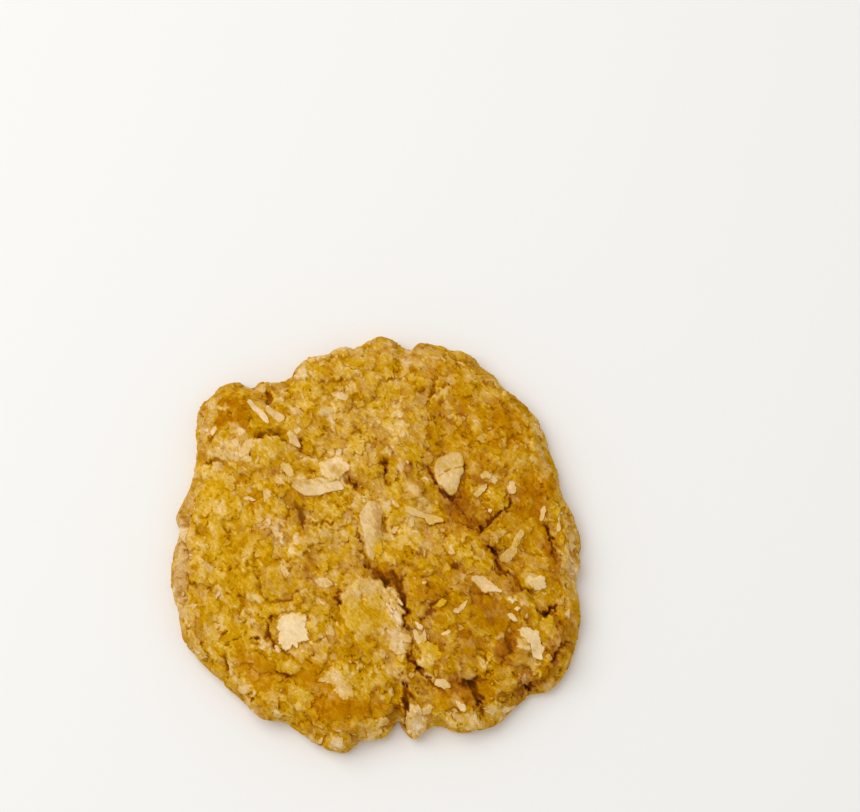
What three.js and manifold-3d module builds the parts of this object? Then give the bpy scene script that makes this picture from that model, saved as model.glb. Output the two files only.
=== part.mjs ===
// One oat and nut cookie, baked in one piece: an uneven round about 75 mm across and 10 mm thick.
// It lies flat on its underside. Its side leans in to a low shoulder, and above that the top is
// domed, lumpy and cracked, with rolled oats and pieces of nut lying half sunk in the dough.
// Millimetres, +Z up, the origin on the underside below the middle of the cookie's box.
import * as THREE from "three";
import { mergeVertices } from "three/addons/utils/BufferGeometryUtils.js";
import Module from "manifold-3d";

// Driving dimensions of the baked form.
const THICKNESS = 10.2; // from the underside to the smooth dome's highest place, before its lumps
const SHOULDER_HEIGHT = 7.0; // where the side turns into the top
const WIDEST_HEIGHT = 1.8; // the side is widest a little above the underside
const SIDE_RUN = 3.4; // how far the side leans in from its widest line to the shoulder
const BASE_INSET = 1.1; // how far the underside lies in from the widest line
const SIDE_FULLNESS = 1.5; // the side's section: 1 is a straight bevel, 2 a quarter of an ellipse
const DOME_POWER = 2.4; // higher is flatter in the middle

// How finely the surface is divided.
const TOP_RINGS = 25; // rings from the middle to the shoulder, with six more points on each
const SIDE_STEPS = 4; // rings from the shoulder down to the widest line
const BASE_STEPS = 2; // rings from the widest line down to the underside
const RIM_SAMPLES = 1440; // places along the widest line at which its distance is read

// Lumps of the dough, each as [size across, height above or below the dome].
const LUMPS = [
  [12, 0.5],
  [6, 0.42],
  [3.2, 0.34],
];
const SIDE_LUMP = 0.8; // how far the lumps move the side in or out
const SIDE_LUMP_SIZE = 4.5;
const SIDE_TWIST = 2; // how far the side's lumps shift for each mm of height, so they differ down it

// The widest line, seen from above, anticlockwise from the right. Between its points it is a spline.
const RIM = [
  // right side, up to the top right bulge
  [37.7, -1.4], [36.9, 3.3], [34.9, 7.5], [33.3, 13.4], [32, 17.6], [30.5, 21.9],
  [25.5, 27.5], [22, 31], [19.4, 32.9], [17.9, 34.9], [15.6, 36.4], [11.8, 37.5],
  // far side, over two shallow scallops
  [7.7, 37.6], [6.4, 36.7], [4.3, 37.4], [0.5, 38.8], [-2.9, 37.5], [-8, 36.7],
  [-8.9, 35.9], [-13.1, 34.9], [-15.2, 33], [-16.2, 31.1], [-19.8, 30.1], [-22, 30.7],
  // the square shoulder at the far left, and the left side
  [-23.3, 29.6], [-27.1, 30], [-31, 27.9], [-33.2, 25.2], [-33.7, 21.7], [-33.1, 17.1],
  [-34, 12], [-36.3, 6.4], [-36.8, 4.5], [-36.1, 1.9], [-37.4, -2.3], [-37.7, -6],
  [-36.9, -10.8], [-35.6, -16], [-35.2, -18.2],
  // near left, a long flat stretch down to the near lobe
  [-32.2, -21.9], [-27.3, -26.7], [-23.8, -30], [-20.7, -32.4], [-16.8, -33.4],
  [-12.8, -35.7], [-8.2, -38.4], [-5.5, -38.8], [-3.5, -37.4], [-2.8, -36.7], [1.2, -36.3],
  // the notch where the main crack comes out, and the tooth beside it
  [3.2, -34.3], [4.1, -33.3], [4.9, -34.4], [7, -36.3], [8.5, -35.3],
  // near right, back up to the start
  [11, -34.2], [15.4, -35.1], [21.8, -33.7], [26.2, -29.8], [28.2, -28.3], [31.9, -27.3],
  [34.5, -24.5], [36.4, -19.9], [37.5, -15.5], [37.3, -11.5], [36.8, -7.2], [37.5, -4.4],
];

// Cracks in the top, each a groove along a path. The widths are across the whole groove.
const CRACKS = [
  {
    name: "main",
    width: 2.6,
    depth: 1.7,
    path: [[-0.9, -6.1], [0.9, -7.8], [3.1, -8.7], [5.2, -12.7], [6.9, -18.1], [6.5, -22.8], [8.1, -25.1]],
  },
  { name: "notch", width: 2.8, depth: 2.6, path: [[5.1, -27.1], [5.4, -29.9], [4.5, -33]] },
  {
    name: "near right",
    width: 2.6,
    depth: 2,
    path: [[16.4, -27.1], [17.7, -27.6], [18.8, -30.1], [19.7, -33.4]],
  },
  {
    name: "right, upper",
    width: 2,
    depth: 1,
    path: [[24.6, 7.4], [24.6, 5.5], [21.8, 3.5], [19.4, 0.9]],
  },
  { name: "right, lower", width: 2, depth: 1.1, path: [[20.3, -2.3], [22.5, -4.1], [23.8, -6.8]] },
  { name: "right rim", width: 2.4, depth: 1.4, path: [[31, 2], [32.1, -0.8], [32.9, -5.4]] },
  { name: "right hole", width: 2.6, depth: 1.8, path: [[29.8, -13.6], [33, -12.9]] },
  { name: "near right rim", width: 2, depth: 1.2, path: [[34.2, -19.6], [32.1, -23.4]] },
  { name: "middle right", width: 2, depth: 0.8, path: [[12.7, -11], [9.9, -14.1], [8.3, -16.3]] },
  { name: "middle", width: 2, depth: 1.1, path: [[1.3, 14.1], [1.7, 11], [0.1, 6.7]] },
  { name: "beside the slit oat", width: 2.2, depth: 1, path: [[11, 10], [11.8, 7.7], [13.4, 6.8]] },
  { name: "far left cave", width: 2.8, depth: 1.8, path: [[-22.4, 19.4], [-20, 20.5], [-17.3, 19.3]] },
  { name: "left of the big oat", width: 2.2, depth: 1.1, path: [[-6.5, -10.5], [-6.7, -14.5]] },
  {
    name: "round the left clump",
    width: 2,
    depth: 0.8,
    path: [[-21.4, -12.2], [-18.1, -12.9], [-13.9, -11.9], [-13.6, -8.6]],
  },
  { name: "left pits", width: 2.4, depth: 1.5, path: [[-21.5, -18.6], [-19.6, -17.3]] },
  { name: "near left", width: 2.2, depth: 1.2, path: [[-27.9, -21.5], [-26.8, -24.7]] },
  { name: "left rim", width: 2.2, depth: 1, path: [[-31.2, 14.2], [-29.7, 13.1]] },
];

// Oats and pieces of nut that show singly. Each is an oval at a place on the top, turned
// anticlockwise from the right, leaning up on its right hand side by an angle.
const FLAKES = [
  { name: "slit oat", at: [13.4, 11.5], length: 7.9, width: 5.4, turn: 80, lean: -5 },
  { name: "crescent", at: [-10.5, 8.6], length: 10.1, width: 3.1, turn: 3, lean: 6 },
  { name: "torn oat", at: [-7.5, 12.2], length: 5.5, width: 4.6, turn: 20, lean: 8 },
  { name: "upright oat", at: [-0.6, 0.6], length: 11.4, width: 3.7, turn: 88, lean: -8 },
  { name: "pale nut", at: [-14.8, -18.1], length: 6.6, width: 5.5, turn: 70, lean: -4 },
  { name: "leaf", at: [20.1, -9.3], length: 6.2, width: 2.6, turn: -26, lean: 6 },
  { name: "round nut", at: [29.1, -8.8], length: 4, width: 3.3, turn: 0, lean: 0 },
  { name: "scalloped nut", at: [28.3, -19.9], length: 6.4, width: 4.9, turn: 110, lean: -6 },
  { name: "big oat", at: [-0.9, -14.2], length: 10.8, width: 9.2, turn: 100, lean: -4 },
  { name: "big oat's ridge", at: [4, -16], length: 7.4, width: 1.9, turn: 103, lean: -10 },
  { name: "long oat", at: [8.9, 3.4], length: 7.6, width: 2.8, turn: -22, lean: 8 },
  { name: "white sliver", at: [-21.7, 23.6], length: 5, width: 1.4, turn: -44, lean: 12 },
  { name: "second sliver", at: [-18.7, 23.1], length: 4.6, width: 1.6, turn: -37, lean: 10 },
  { name: "oat over the cave", at: [-19.9, 16.9], length: 6.3, width: 3.2, turn: 8, lean: 14 },
  { name: "left ridge", at: [-29.6, 12.4], length: 4.4, width: 1.9, turn: 29, lean: 4 },
  { name: "left sliver", at: [-17.8, 0.8], length: 5, width: 1.5, turn: -62, lean: 8 },
  { name: "middle left oat", at: [-9.2, 0.4], length: 3.6, width: 3, turn: 40, lean: 6 },
  { name: "fan", at: [24.5, -2.2], length: 7, width: 3, turn: 58, lean: 10 },
  { name: "right sliver", at: [32.4, 2.6], length: 5.2, width: 1.4, turn: 98, lean: 6 },
  { name: "upper right oat", at: [25, 8.9], length: 3.4, width: 1.7, turn: 112, lean: -8 },
  { name: "curl", at: [7.6, -18.1], length: 4.8, width: 1.6, turn: -77, lean: 16 },
  { name: "left clump", at: [-17.6, -9.1], length: 7.2, width: 6, turn: 35, lean: 0 },
  { name: "near left clump", at: [-15.9, -24.1], length: 4.8, width: 3.4, turn: 15, lean: 4 },
  { name: "far yellow oat", at: [12, 26.5], length: 4, width: 2.5, turn: 30, lean: 10 },
  { name: "far left chunk", at: [-13.7, 30.4], length: 3.8, width: 2.8, turn: 70, lean: 0 },
  { name: "far curl", at: [-6.9, 26.2], length: 4.2, width: 2.2, turn: -32, lean: 12 },
  { name: "rim nut", at: [7, -33], length: 3, width: 2.6, turn: 100, lean: 0 },
];
const FLAKE_THICKNESS = 1.1; // of the whole oval
const FLAKE_RISE = 0.1; // how far its middle lies above the surface
const SLOPE_STEP = 1.2; // how far to each side the surface's slope is taken
const FLAKE_SIDES = 8;
const FLAKE_BANDS = 4;

// Smaller oats and bits of nut between them, one to each square of an even lattice.
const BIT_SPACING = 6.2;
const BIT_LENGTH = [2.4, 4]; // shortest and longest
const BIT_SLIMNESS = [0.45, 0.8]; // width as a share of the length
const BIT_THICKNESS = 1;
const BIT_LEAN = 22; // the most that one leans, in degrees
const BIT_WANDER = 0.35; // how far one strays from its square's middle, as a share of the square
const BIT_SIDES = 5;
const BIT_BANDS = 4;
const BIT_REACH = 0.9; // how far out they lie, as a share of the way to the shoulder
const BIT_SPAN = 40; // how far the lattice reaches to each side, past the cookie's edge
const BIT_CRACK = 0.8; // no bit lies where a crack is deeper than this
const BIT_SEEDS = { across: 11, along: 12, length: 13, width: 14, turn: 15, lean: 16 };
const CLEARANCE = 0.6; // least gap between a bit and a flake, as a share of the flake's length

const DOUGH = { color: 0xc08e2c, roughness: 0.72, metalness: 0 };

// A draw is the fraction of a large sine, whose angle grows by these for each step and seed.
const SWING = { i: 127.1, j: 311.7, seed: 74.7, size: 43758.5453 };
const BALL_RADIUS = 0.5; // a ball one across, which is scaled to each flake's length, width, thickness

const rad = THREE.MathUtils.degToRad;
const lerp = THREE.MathUtils.lerp;

// A repeatable draw between 0 and 1 for a whole-number place and a seed.
function draw(i, j, seed) {
  const swing = Math.sin(i * SWING.i + j * SWING.j + seed * SWING.seed) * SWING.size;
  return swing - Math.floor(swing);
}

// Smooth noise from -1 to 1, whose humps are about the given size across.
function noise(x, y, size, seed) {
  const [i, j] = [Math.floor(x / size), Math.floor(y / size)];
  const [u, v] = [x / size - i, y / size - j].map((t) => t * t * (3 - 2 * t));
  const near = lerp(draw(i, j, seed), draw(i + 1, j, seed), u);
  const far = lerp(draw(i, j + 1, seed), draw(i + 1, j + 1, seed), u);
  return 2 * lerp(near, far, v) - 1;
}

// The widest line's distance from the middle at each bearing, read off a closed spline.
function makeRimRadius() {
  const points = RIM.map(([x, y]) => new THREE.Vector3(x, y, 0));
  const spline = new THREE.CatmullRomCurve3(points, true, "centripetal");
  const places = spline.getSpacedPoints(RIM_SAMPLES);
  const line = places.map((p) => [Math.atan2(p.y, p.x), Math.hypot(p.x, p.y)]);
  line.sort((a, b) => a[0] - b[0]);
  line.unshift([line.at(-1)[0] - 2 * Math.PI, line.at(-1)[1]]);
  line.push([line[1][0] + 2 * Math.PI, line[1][1]]);
  return (bearing) => {
    const wanted = Math.atan2(Math.sin(bearing), Math.cos(bearing));
    const after = line.findIndex((entry) => entry[0] > wanted);
    const [before, next] = [line[after - 1], line[after]];
    return lerp(before[1], next[1], (wanted - before[0]) / (next[0] - before[0]));
  };
}
const rimRadius = makeRimRadius();

// Distance from a place to a path of straight stretches.
function distanceToPath(x, y, path) {
  let least = Infinity;
  for (let i = 1; i < path.length; i++) {
    const [[ax, ay], [bx, by]] = [path[i - 1], path[i]];
    const [dx, dy] = [bx - ax, by - ay];
    const along = THREE.MathUtils.clamp(((x - ax) * dx + (y - ay) * dy) / (dx * dx + dy * dy), 0, 1);
    least = Math.min(least, Math.hypot(x - ax - along * dx, y - ay - along * dy));
  }
  return least;
}

// How deep the cracks are at a place: each is a rounded groove, and the deepest one counts.
function crackDepth(x, y) {
  const depths = CRACKS.map(({ width, depth, path }) => {
    const share = distanceToPath(x, y, path) / (width / 2);
    return depth * Math.exp(-share * share);
  });
  return Math.max(...depths);
}

// Height of the top at a place: a low dome, its lumps, less the cracks.
function topHeight(x, y) {
  const reach = rimRadius(Math.atan2(y, x)) - SIDE_RUN;
  const share = Math.min(1, Math.hypot(x, y) / reach);
  const dome = SHOULDER_HEIGHT + (THICKNESS - SHOULDER_HEIGHT) * (1 - share ** DOME_POWER);
  const lumps = LUMPS.reduce((sum, [size, height], seed) => sum + height * noise(x, y, size, seed), 0);
  return dome + lumps - crackDepth(x, y);
}

// Height of the top or of the side below its shoulder, whose section is a superellipse.
function surfaceHeight(x, y) {
  const bearing = Math.atan2(y, x);
  const inset = Math.max(0, rimRadius(bearing) - Math.hypot(x, y));
  if (inset >= SIDE_RUN) return topHeight(x, y);
  const shoulder = rimRadius(bearing) - SIDE_RUN;
  const top = topHeight(shoulder * Math.cos(bearing), shoulder * Math.sin(bearing));
  const rise = (1 - (1 - inset / SIDE_RUN) ** SIDE_FULLNESS) ** (1 / SIDE_FULLNESS);
  return lerp(WIDEST_HEIGHT, top, rise);
}

// The way the surface faces at a place, from its heights a little to each side.
function surfaceNormal(x, y) {
  const slopeX = (surfaceHeight(x + SLOPE_STEP, y) - surfaceHeight(x - SLOPE_STEP, y)) / (2 * SLOPE_STEP);
  const slopeY = (surfaceHeight(x, y + SLOPE_STEP) - surfaceHeight(x, y - SLOPE_STEP)) / (2 * SLOPE_STEP);
  return new THREE.Vector3(-slopeX, -slopeY, 1).normalize();
}

// The top's points: a middle point, then rings of 6, 12, 18 and so on, so they are evenly spaced.
function topPoints() {
  const points = [[0, 0, topHeight(0, 0)]];
  for (let ring = 1; ring <= TOP_RINGS; ring++) {
    for (let i = 0; i < 6 * ring; i++) {
      const bearing = (2 * Math.PI * i) / (6 * ring);
      const radius = (ring / TOP_RINGS) * (rimRadius(bearing) - SIDE_RUN);
      const [x, y] = [radius * Math.cos(bearing), radius * Math.sin(bearing)];
      points.push([x, y, topHeight(x, y)]);
    }
  }
  return points;
}

// A ring of the side, given how far it lies in from the widest line and how high: the shoulder's
// own height blends into the level of the widest line, and lumps push it in and out.
function sideRing(inset, rise, lumpShare) {
  const count = 6 * TOP_RINGS;
  return Array.from({ length: count }, (_, i) => {
    const bearing = (2 * Math.PI * i) / count;
    const rim = rimRadius(bearing);
    const shoulder = rim - SIDE_RUN;
    const top = topHeight(shoulder * Math.cos(bearing), shoulder * Math.sin(bearing));
    const height = rise < 0 ? WIDEST_HEIGHT * (1 + rise) : lerp(WIDEST_HEIGHT, top, rise);
    const across = rim * Math.cos(bearing) + SIDE_TWIST * height;
    const along = rim * Math.sin(bearing) - SIDE_TWIST * height;
    const lump = SIDE_LUMP * lumpShare * noise(across, along, SIDE_LUMP_SIZE, LUMPS.length);
    const radius = rim - inset + lump;
    return [radius * Math.cos(bearing), radius * Math.sin(bearing), height];
  });
}

// The side's points, ring by ring from just under the shoulder down to the underside.
function sidePoints() {
  const points = [];
  for (let step = 1; step <= SIDE_STEPS; step++) {
    const angle = (Math.PI / 2) * (1 - step / SIDE_STEPS);
    const inset = SIDE_RUN * (1 - Math.cos(angle) ** (2 / SIDE_FULLNESS));
    const rise = Math.sin(angle) ** (2 / SIDE_FULLNESS);
    points.push(...sideRing(inset, rise, Math.sin(2 * angle)));
  }
  for (let step = 1; step <= BASE_STEPS; step++) {
    const angle = (Math.PI / 2) * (step / BASE_STEPS);
    points.push(...sideRing(BASE_INSET * (1 - Math.cos(angle)), -Math.sin(angle), 0));
  }
  return points;
}

// Triangles between rings of 6k and 6k + 6 points: six sectors, each a strip that gains one point.
function growingRing(faces, ring, innerStart, outerStart) {
  const [innerCount, outerCount] = [Math.max(1, 6 * ring), 6 * (ring + 1)];
  const inner = (i) => innerStart + (i % innerCount);
  const outer = (i) => outerStart + (i % outerCount);
  for (let sector = 0; sector < 6; sector++) {
    for (let j = 0; j <= ring; j++) {
      const [i, o] = [sector * ring + j, sector * (ring + 1) + j];
      faces.push(inner(i), outer(o), outer(o + 1));
      if (j < ring) faces.push(inner(i), outer(o + 1), inner(i + 1));
    }
  }
}

// Triangles between two rings of equally many points, the upper one first.
function evenRing(faces, count, upperStart, lowerStart) {
  for (let i = 0; i < count; i++) {
    const next = (i + 1) % count;
    faces.push(upperStart + i, lowerStart + i, lowerStart + next);
    faces.push(upperStart + i, lowerStart + next, upperStart + next);
  }
}

// The dough as one closed surface: top, side and flat underside.
function doughGeometry() {
  const points = [...topPoints(), ...sidePoints(), [0, 0, 0]];
  const faces = [];
  let start = 0;
  for (let ring = 0; ring < TOP_RINGS; ring++) {
    const next = start + Math.max(1, 6 * ring);
    growingRing(faces, ring, start, next);
    start = next;
  }
  const count = 6 * TOP_RINGS;
  for (let step = 0; step < SIDE_STEPS + BASE_STEPS; step++) {
    evenRing(faces, count, start, start + count);
    start += count;
  }
  const middle = points.length - 1;
  for (let i = 0; i < count; i++) faces.push(start + i, middle, start + ((i + 1) % count));
  const geometry = new THREE.BufferGeometry();
  geometry.setAttribute("position", new THREE.Float32BufferAttribute(points.flat(), 3));
  geometry.setIndex(faces);
  return geometry;
}

// An oval flake, thin and rounded, lying along the surface where it is and half sunk in it.
function flakeGeometry({ at, length, width, turn, lean }, thickness, sides, bands) {
  const upright = new THREE.Vector3(0, 0, 1);
  const slope = new THREE.Quaternion().setFromUnitVectors(upright, surfaceNormal(at[0], at[1]));
  const geometry = new THREE.SphereGeometry(BALL_RADIUS, sides, bands);
  geometry.rotateX(Math.PI / 2);
  geometry.scale(length, width, thickness);
  geometry.rotateX(rad(lean));
  geometry.rotateZ(rad(turn));
  geometry.applyQuaternion(slope);
  return geometry.translate(at[0], at[1], surfaceHeight(at[0], at[1]) + FLAKE_RISE);
}

// Whether a bit may lie at a place: on the top, clear of the flakes and of the deep cracks.
function isFree(x, y) {
  const reach = BIT_REACH * (rimRadius(Math.atan2(y, x)) - SIDE_RUN);
  const clear = FLAKES.every(({ at, length }) => Math.hypot(x - at[0], y - at[1]) >= CLEARANCE * length);
  return Math.hypot(x, y) <= reach && clear && crackDepth(x, y) <= BIT_CRACK;
}

// The smaller bits: one in each square of the lattice, where it is free, drawn from its place.
function scatteredBits() {
  const bits = [];
  const squares = Math.ceil(BIT_SPAN / BIT_SPACING);
  for (let i = -squares; i <= squares; i++) {
    for (let j = -squares; j <= squares; j++) {
      const stray = (seed) => BIT_WANDER * (2 * draw(i, j, seed) - 1);
      const x = BIT_SPACING * (i + stray(BIT_SEEDS.across));
      const y = BIT_SPACING * (j + stray(BIT_SEEDS.along));
      if (!isFree(x, y)) continue;
      const length = lerp(...BIT_LENGTH, draw(i, j, BIT_SEEDS.length));
      const width = length * lerp(...BIT_SLIMNESS, draw(i, j, BIT_SEEDS.width));
      const turn = 180 * draw(i, j, BIT_SEEDS.turn);
      const lean = BIT_LEAN * (2 * draw(i, j, BIT_SEEDS.lean) - 1);
      bits.push({ at: [x, y], length, width, turn, lean });
    }
  }
  return bits;
}

const wasm = await Module();
wasm.setup();

// A closed surface as a solid that can be joined to others.
function solidOf(geometry) {
  geometry.deleteAttribute("normal");
  geometry.deleteAttribute("uv");
  const merged = mergeVertices(geometry);
  const vertProperties = merged.attributes.position.array;
  return new wasm.Manifold(
    new wasm.Mesh({ numProp: 3, vertProperties, triVerts: new Uint32Array(merged.index.array) }),
  );
}

// A solid's outside as a geometry to draw.
function geometryOf(solid) {
  const { vertProperties, triVerts } = solid.getMesh();
  const geometry = new THREE.BufferGeometry();
  geometry.setAttribute("position", new THREE.BufferAttribute(vertProperties, 3));
  geometry.setIndex(new THREE.BufferAttribute(triVerts, 1));
  geometry.computeVertexNormals();
  return geometry;
}

// The whole cookie: the dough with every flake and bit fused to it.
function cookie() {
  const flakes = FLAKES.map((flake) => flakeGeometry(flake, FLAKE_THICKNESS, FLAKE_SIDES, FLAKE_BANDS));
  const bits = scatteredBits().map((bit) => flakeGeometry(bit, BIT_THICKNESS, BIT_SIDES, BIT_BANDS));
  const dough = solidOf(doughGeometry());
  const fused = [...flakes, ...bits].reduce((whole, piece) => whole.add(solidOf(piece)), dough);
  const geometry = geometryOf(fused);
  geometry.computeBoundingBox();
  const middle = geometry.boundingBox.getCenter(new THREE.Vector3());
  geometry.translate(-middle.x, -middle.y, 0);
  const mesh = new THREE.Mesh(geometry, new THREE.MeshStandardMaterial(DOUGH));
  mesh.name = "cookie";
  return mesh;
}

const group = new THREE.Group();
group.add(cookie());

export default group;
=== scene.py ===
"""Looks of one baked oat and cashew cookie, about 75 mm across, lying on its flat underside.

The dough is one closed skin. Its large form is the same dome, lumps and sloping side as the solid
that it stands for. On that lie shingled flakes, crumbs, cracks and pits, worked out on a flat map of
the skin, and on top of it the oats and pieces of nut that show singly, each a thin closed body.
Lengths are in millimetres up to the last step, which turns them to metres.
"""

import logging
import math
from dataclasses import dataclass, field
from enum import Enum

import bpy
import numpy as np
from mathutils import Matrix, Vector
from mathutils.bvhtree import BVHTree
from mathutils.interpolate import poly_3d_calc


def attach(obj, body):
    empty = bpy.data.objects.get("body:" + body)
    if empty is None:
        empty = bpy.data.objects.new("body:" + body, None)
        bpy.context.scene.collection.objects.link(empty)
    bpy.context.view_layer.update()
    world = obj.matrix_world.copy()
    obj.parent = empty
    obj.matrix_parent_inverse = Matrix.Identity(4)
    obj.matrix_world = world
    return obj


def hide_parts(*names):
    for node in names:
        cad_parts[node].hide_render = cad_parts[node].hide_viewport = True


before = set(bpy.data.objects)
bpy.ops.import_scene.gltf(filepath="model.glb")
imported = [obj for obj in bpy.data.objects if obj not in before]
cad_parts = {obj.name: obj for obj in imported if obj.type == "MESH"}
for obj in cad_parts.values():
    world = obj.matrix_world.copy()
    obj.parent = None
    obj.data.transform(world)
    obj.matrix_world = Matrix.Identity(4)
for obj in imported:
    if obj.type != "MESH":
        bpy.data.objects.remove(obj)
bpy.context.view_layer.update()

LOG = logging.getLogger("cookie")
MM = 0.001  # metres in a millimetre
LIE = math.radians(118.0)  # the way in which flakes lie, anticlockwise from the right
NODE = "cookie"
BODY = "root"

TURN = 2.0 * math.pi
TONES = ("shade", "dry", "toast")  # what the mesh gives at each point
NOISE_SPAN = (0.3, 0.7)  # between which most of a noise node's values lie
STRAY = 0.6  # radians by which flakes stray from the lie
SOAK_NOISE = (1.7, 62)  # mm and seed, for where the dough has soaked a flake
FIBRE_NOISE = (0.7, 63)  # the same for the fibres that show on it
WAVE_NOISE = (2.6, 61)  # for the waves of its top
PATCHY_NOISE = (2.6, 65)  # for where a patch is more toasted
SHADOW_NOISE = (1.4, 64)  # for where the dough is darker beside it
SWELL_NOISE = (1.6, 51)  # for where a crack is wider
HUMP_SPREAD = 0.25  # mm of blur for each mm of a noise's humps
SLOW_SPREAD = 2.5  # times that: the blur that is taken away from it
EDGE_WAVES = (2.4, 1.5, 0.9, 0.6, 0.42)  # mm, of the waves that make an outline ragged

Array = np.ndarray
Place = tuple[float, float]
Span = tuple[float, float]
Pixels = tuple[Place, ...]
Part = tuple[slice, slice]  # the rows and columns of a part of the map
Warp = tuple[Array, Array]
Scale = tuple[tuple[float, str], ...]
Noises = tuple[tuple[float, float, int], ...]


class Role(Enum):
    """What a piece of the scene is, which gives its name."""

    DOUGH = "baked_dough_skin"
    OATS = "oat_flakes"
    SHINGLES = "soaked_flakes"
    NUTS = "cashew_pieces"
    BITS = "oat_bits"


# ---------------------------------------------------------------------------------------------
# The photograph's view
# ---------------------------------------------------------------------------------------------


@dataclass(frozen=True)
class PhotoView:
    """The photograph's camera, and where its pixels fall on the cookie."""

    width: int = 860  # pixels
    height: int = 812
    middle: Place = (375.95, 539.0)  # the pixel over the cookie's middle
    middle_height: float = 5.0  # mm above the underside at that pixel
    distance: float = 500.0  # mm from the camera, along its axis
    elevation: float = 75.5  # degrees that the camera's axis points down
    pixel_size: float = 0.184  # mm on the cookie for each pixel
    sensor: float = 36.0  # mm
    clip_start: float = 0.01  # m

    def axes(self) -> tuple[Array, Array, Array]:
        """The camera's right, up and forward directions."""
        tilt = math.radians(self.elevation)
        right = np.array([1.0, 0.0, 0.0])
        up = np.array([0.0, math.sin(tilt), math.cos(tilt)])
        forward = np.array([0.0, math.cos(tilt), -math.sin(tilt)])
        return right, up, forward

    def place(self) -> Array:
        """The camera's place in mm: back from the middle along the axis, then across the frame."""
        right, up, forward = self.axes()
        across = (self.middle[0] - self.width / 2) * self.pixel_size
        down = (self.middle[1] - self.height / 2) * self.pixel_size
        target = np.array([0.0, 0.0, self.middle_height])
        return target - forward * self.distance - right * across + up * down

    def ray(self, pixel: Place) -> Vector:
        """The direction in which a pixel looks."""
        right, up, forward = self.axes()
        scale = self.pixel_size / self.distance
        across = (pixel[0] - self.width / 2) * scale
        down = (pixel[1] - self.height / 2) * scale
        return Vector(forward + right * across - up * down).normalized()

    def add_camera(self) -> bpy.types.Object:
        """Makes the scene's camera.

        Returns:
            The camera object, set as the scene's camera.
        """
        camera = bpy.data.cameras.new("photo_camera")
        camera.sensor_width = self.sensor
        camera.lens = self.sensor * self.distance / (self.pixel_size * self.width)
        camera.sensor_fit = "HORIZONTAL"
        camera.clip_start = self.clip_start
        holder = bpy.data.objects.new("photo_camera", camera)
        holder.location = Vector(self.place()) * MM
        holder.rotation_euler = (math.radians(90.0 - self.elevation), 0.0, 0.0)
        bpy.context.scene.collection.objects.link(holder)
        bpy.context.scene.camera = holder
        return holder


# ---------------------------------------------------------------------------------------------
# The baked form, the same as the solid's
# ---------------------------------------------------------------------------------------------

# The widest line, seen from above in mm, anticlockwise from the right.
RIM = (
    # right side, up to the top right bulge
    (37.7, -1.4), (36.9, 3.3), (34.9, 7.5), (33.3, 13.4), (32, 17.6), (30.5, 21.9),
    (25.5, 27.5), (22, 31), (19.4, 32.9), (17.9, 34.9), (15.6, 36.4), (11.8, 37.5),
    # far side, over two shallow scallops
    (7.7, 37.6), (6.4, 36.7), (4.3, 37.4), (0.5, 38.8), (-2.9, 37.5), (-8, 36.7),
    (-8.9, 35.9), (-13.1, 34.9), (-15.2, 33), (-16.2, 31.1), (-19.8, 30.1), (-22, 30.7),
    # the square shoulder at the far left, and the left side
    (-23.3, 29.6), (-27.1, 30), (-31, 27.9), (-33.2, 25.2), (-33.7, 21.7), (-33.1, 17.1),
    (-34, 12), (-36.3, 6.4), (-36.8, 4.5), (-36.1, 1.9), (-37.4, -2.3), (-37.7, -6),
    (-36.9, -10.8), (-35.6, -16), (-35.2, -18.2),
    # near left, a long flat stretch down to the near lobe
    (-32.2, -21.9), (-27.3, -26.7), (-23.8, -30), (-20.7, -32.4), (-16.8, -33.4),
    (-12.8, -35.7), (-8.2, -38.4), (-5.5, -38.8), (-3.5, -37.4), (-2.8, -36.7), (1.2, -36.3),
    # the notch where the main crack comes out, and the tooth beside it
    (3.2, -34.3), (4.1, -33.3), (4.9, -34.4), (7, -36.3), (8.5, -35.3),
    # near right, back up to the start
    (11, -34.2), (15.4, -35.1), (21.8, -33.7), (26.2, -29.8), (28.2, -28.3), (31.9, -27.3),
    (34.5, -24.5), (36.4, -19.9), (37.5, -15.5), (37.3, -11.5), (36.8, -7.2), (37.5, -4.4),
)


def lerp(start: Array, end: Array, share: Array) -> Array:
    """The value at that share of the way from start to end."""
    return start + (end - start) * share


def ease(share: Array) -> Array:
    """A smooth step from 0 to 1: three squares less two cubes of the clipped share."""
    clipped = np.clip(share, 0.0, 1.0)
    return clipped * clipped * (3.0 - 2.0 * clipped)


def closed_spline(knots: Array, steps: int) -> Array:
    """A closed centripetal Catmull-Rom spline through the knots.

    Each stretch is the cubic whose tangents at its two ends come from the knots beside them, with the
    knots' spacings in parameter the square roots of their distances.

    Args:
        knots: Places, one row each.
        steps: Points on each stretch between two knots.

    Returns:
        Points along the whole line, one row each, without a repeat at the end.
    """
    before, start = np.roll(knots, 1, axis=0), knots
    end, after = np.roll(knots, -1, axis=0), np.roll(knots, -2, axis=0)
    pairs = ((before, start), (start, end), (end, after))
    gaps = [np.linalg.norm(b - a, axis=1)[:, None] ** 0.5 for a, b in pairs]
    leave = (start - before) / gaps[0] - (end - before) / (gaps[0] + gaps[1]) + (end - start) / gaps[1]
    arrive = (end - start) / gaps[1] - (after - start) / (gaps[1] + gaps[2]) + (after - end) / gaps[2]
    leave, arrive = (leave * gaps[1])[:, None, :], (arrive * gaps[1])[:, None, :]
    t = (np.arange(steps) / steps)[None, :, None]
    first, last = start[:, None, :], end[:, None, :]
    bend = -3.0 * first + 3.0 * last - 2.0 * leave - arrive
    twist = 2.0 * first - 2.0 * last + leave + arrive
    return (first + leave * t + bend * t**2 + twist * t**3).reshape(-1, knots.shape[1])


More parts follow.
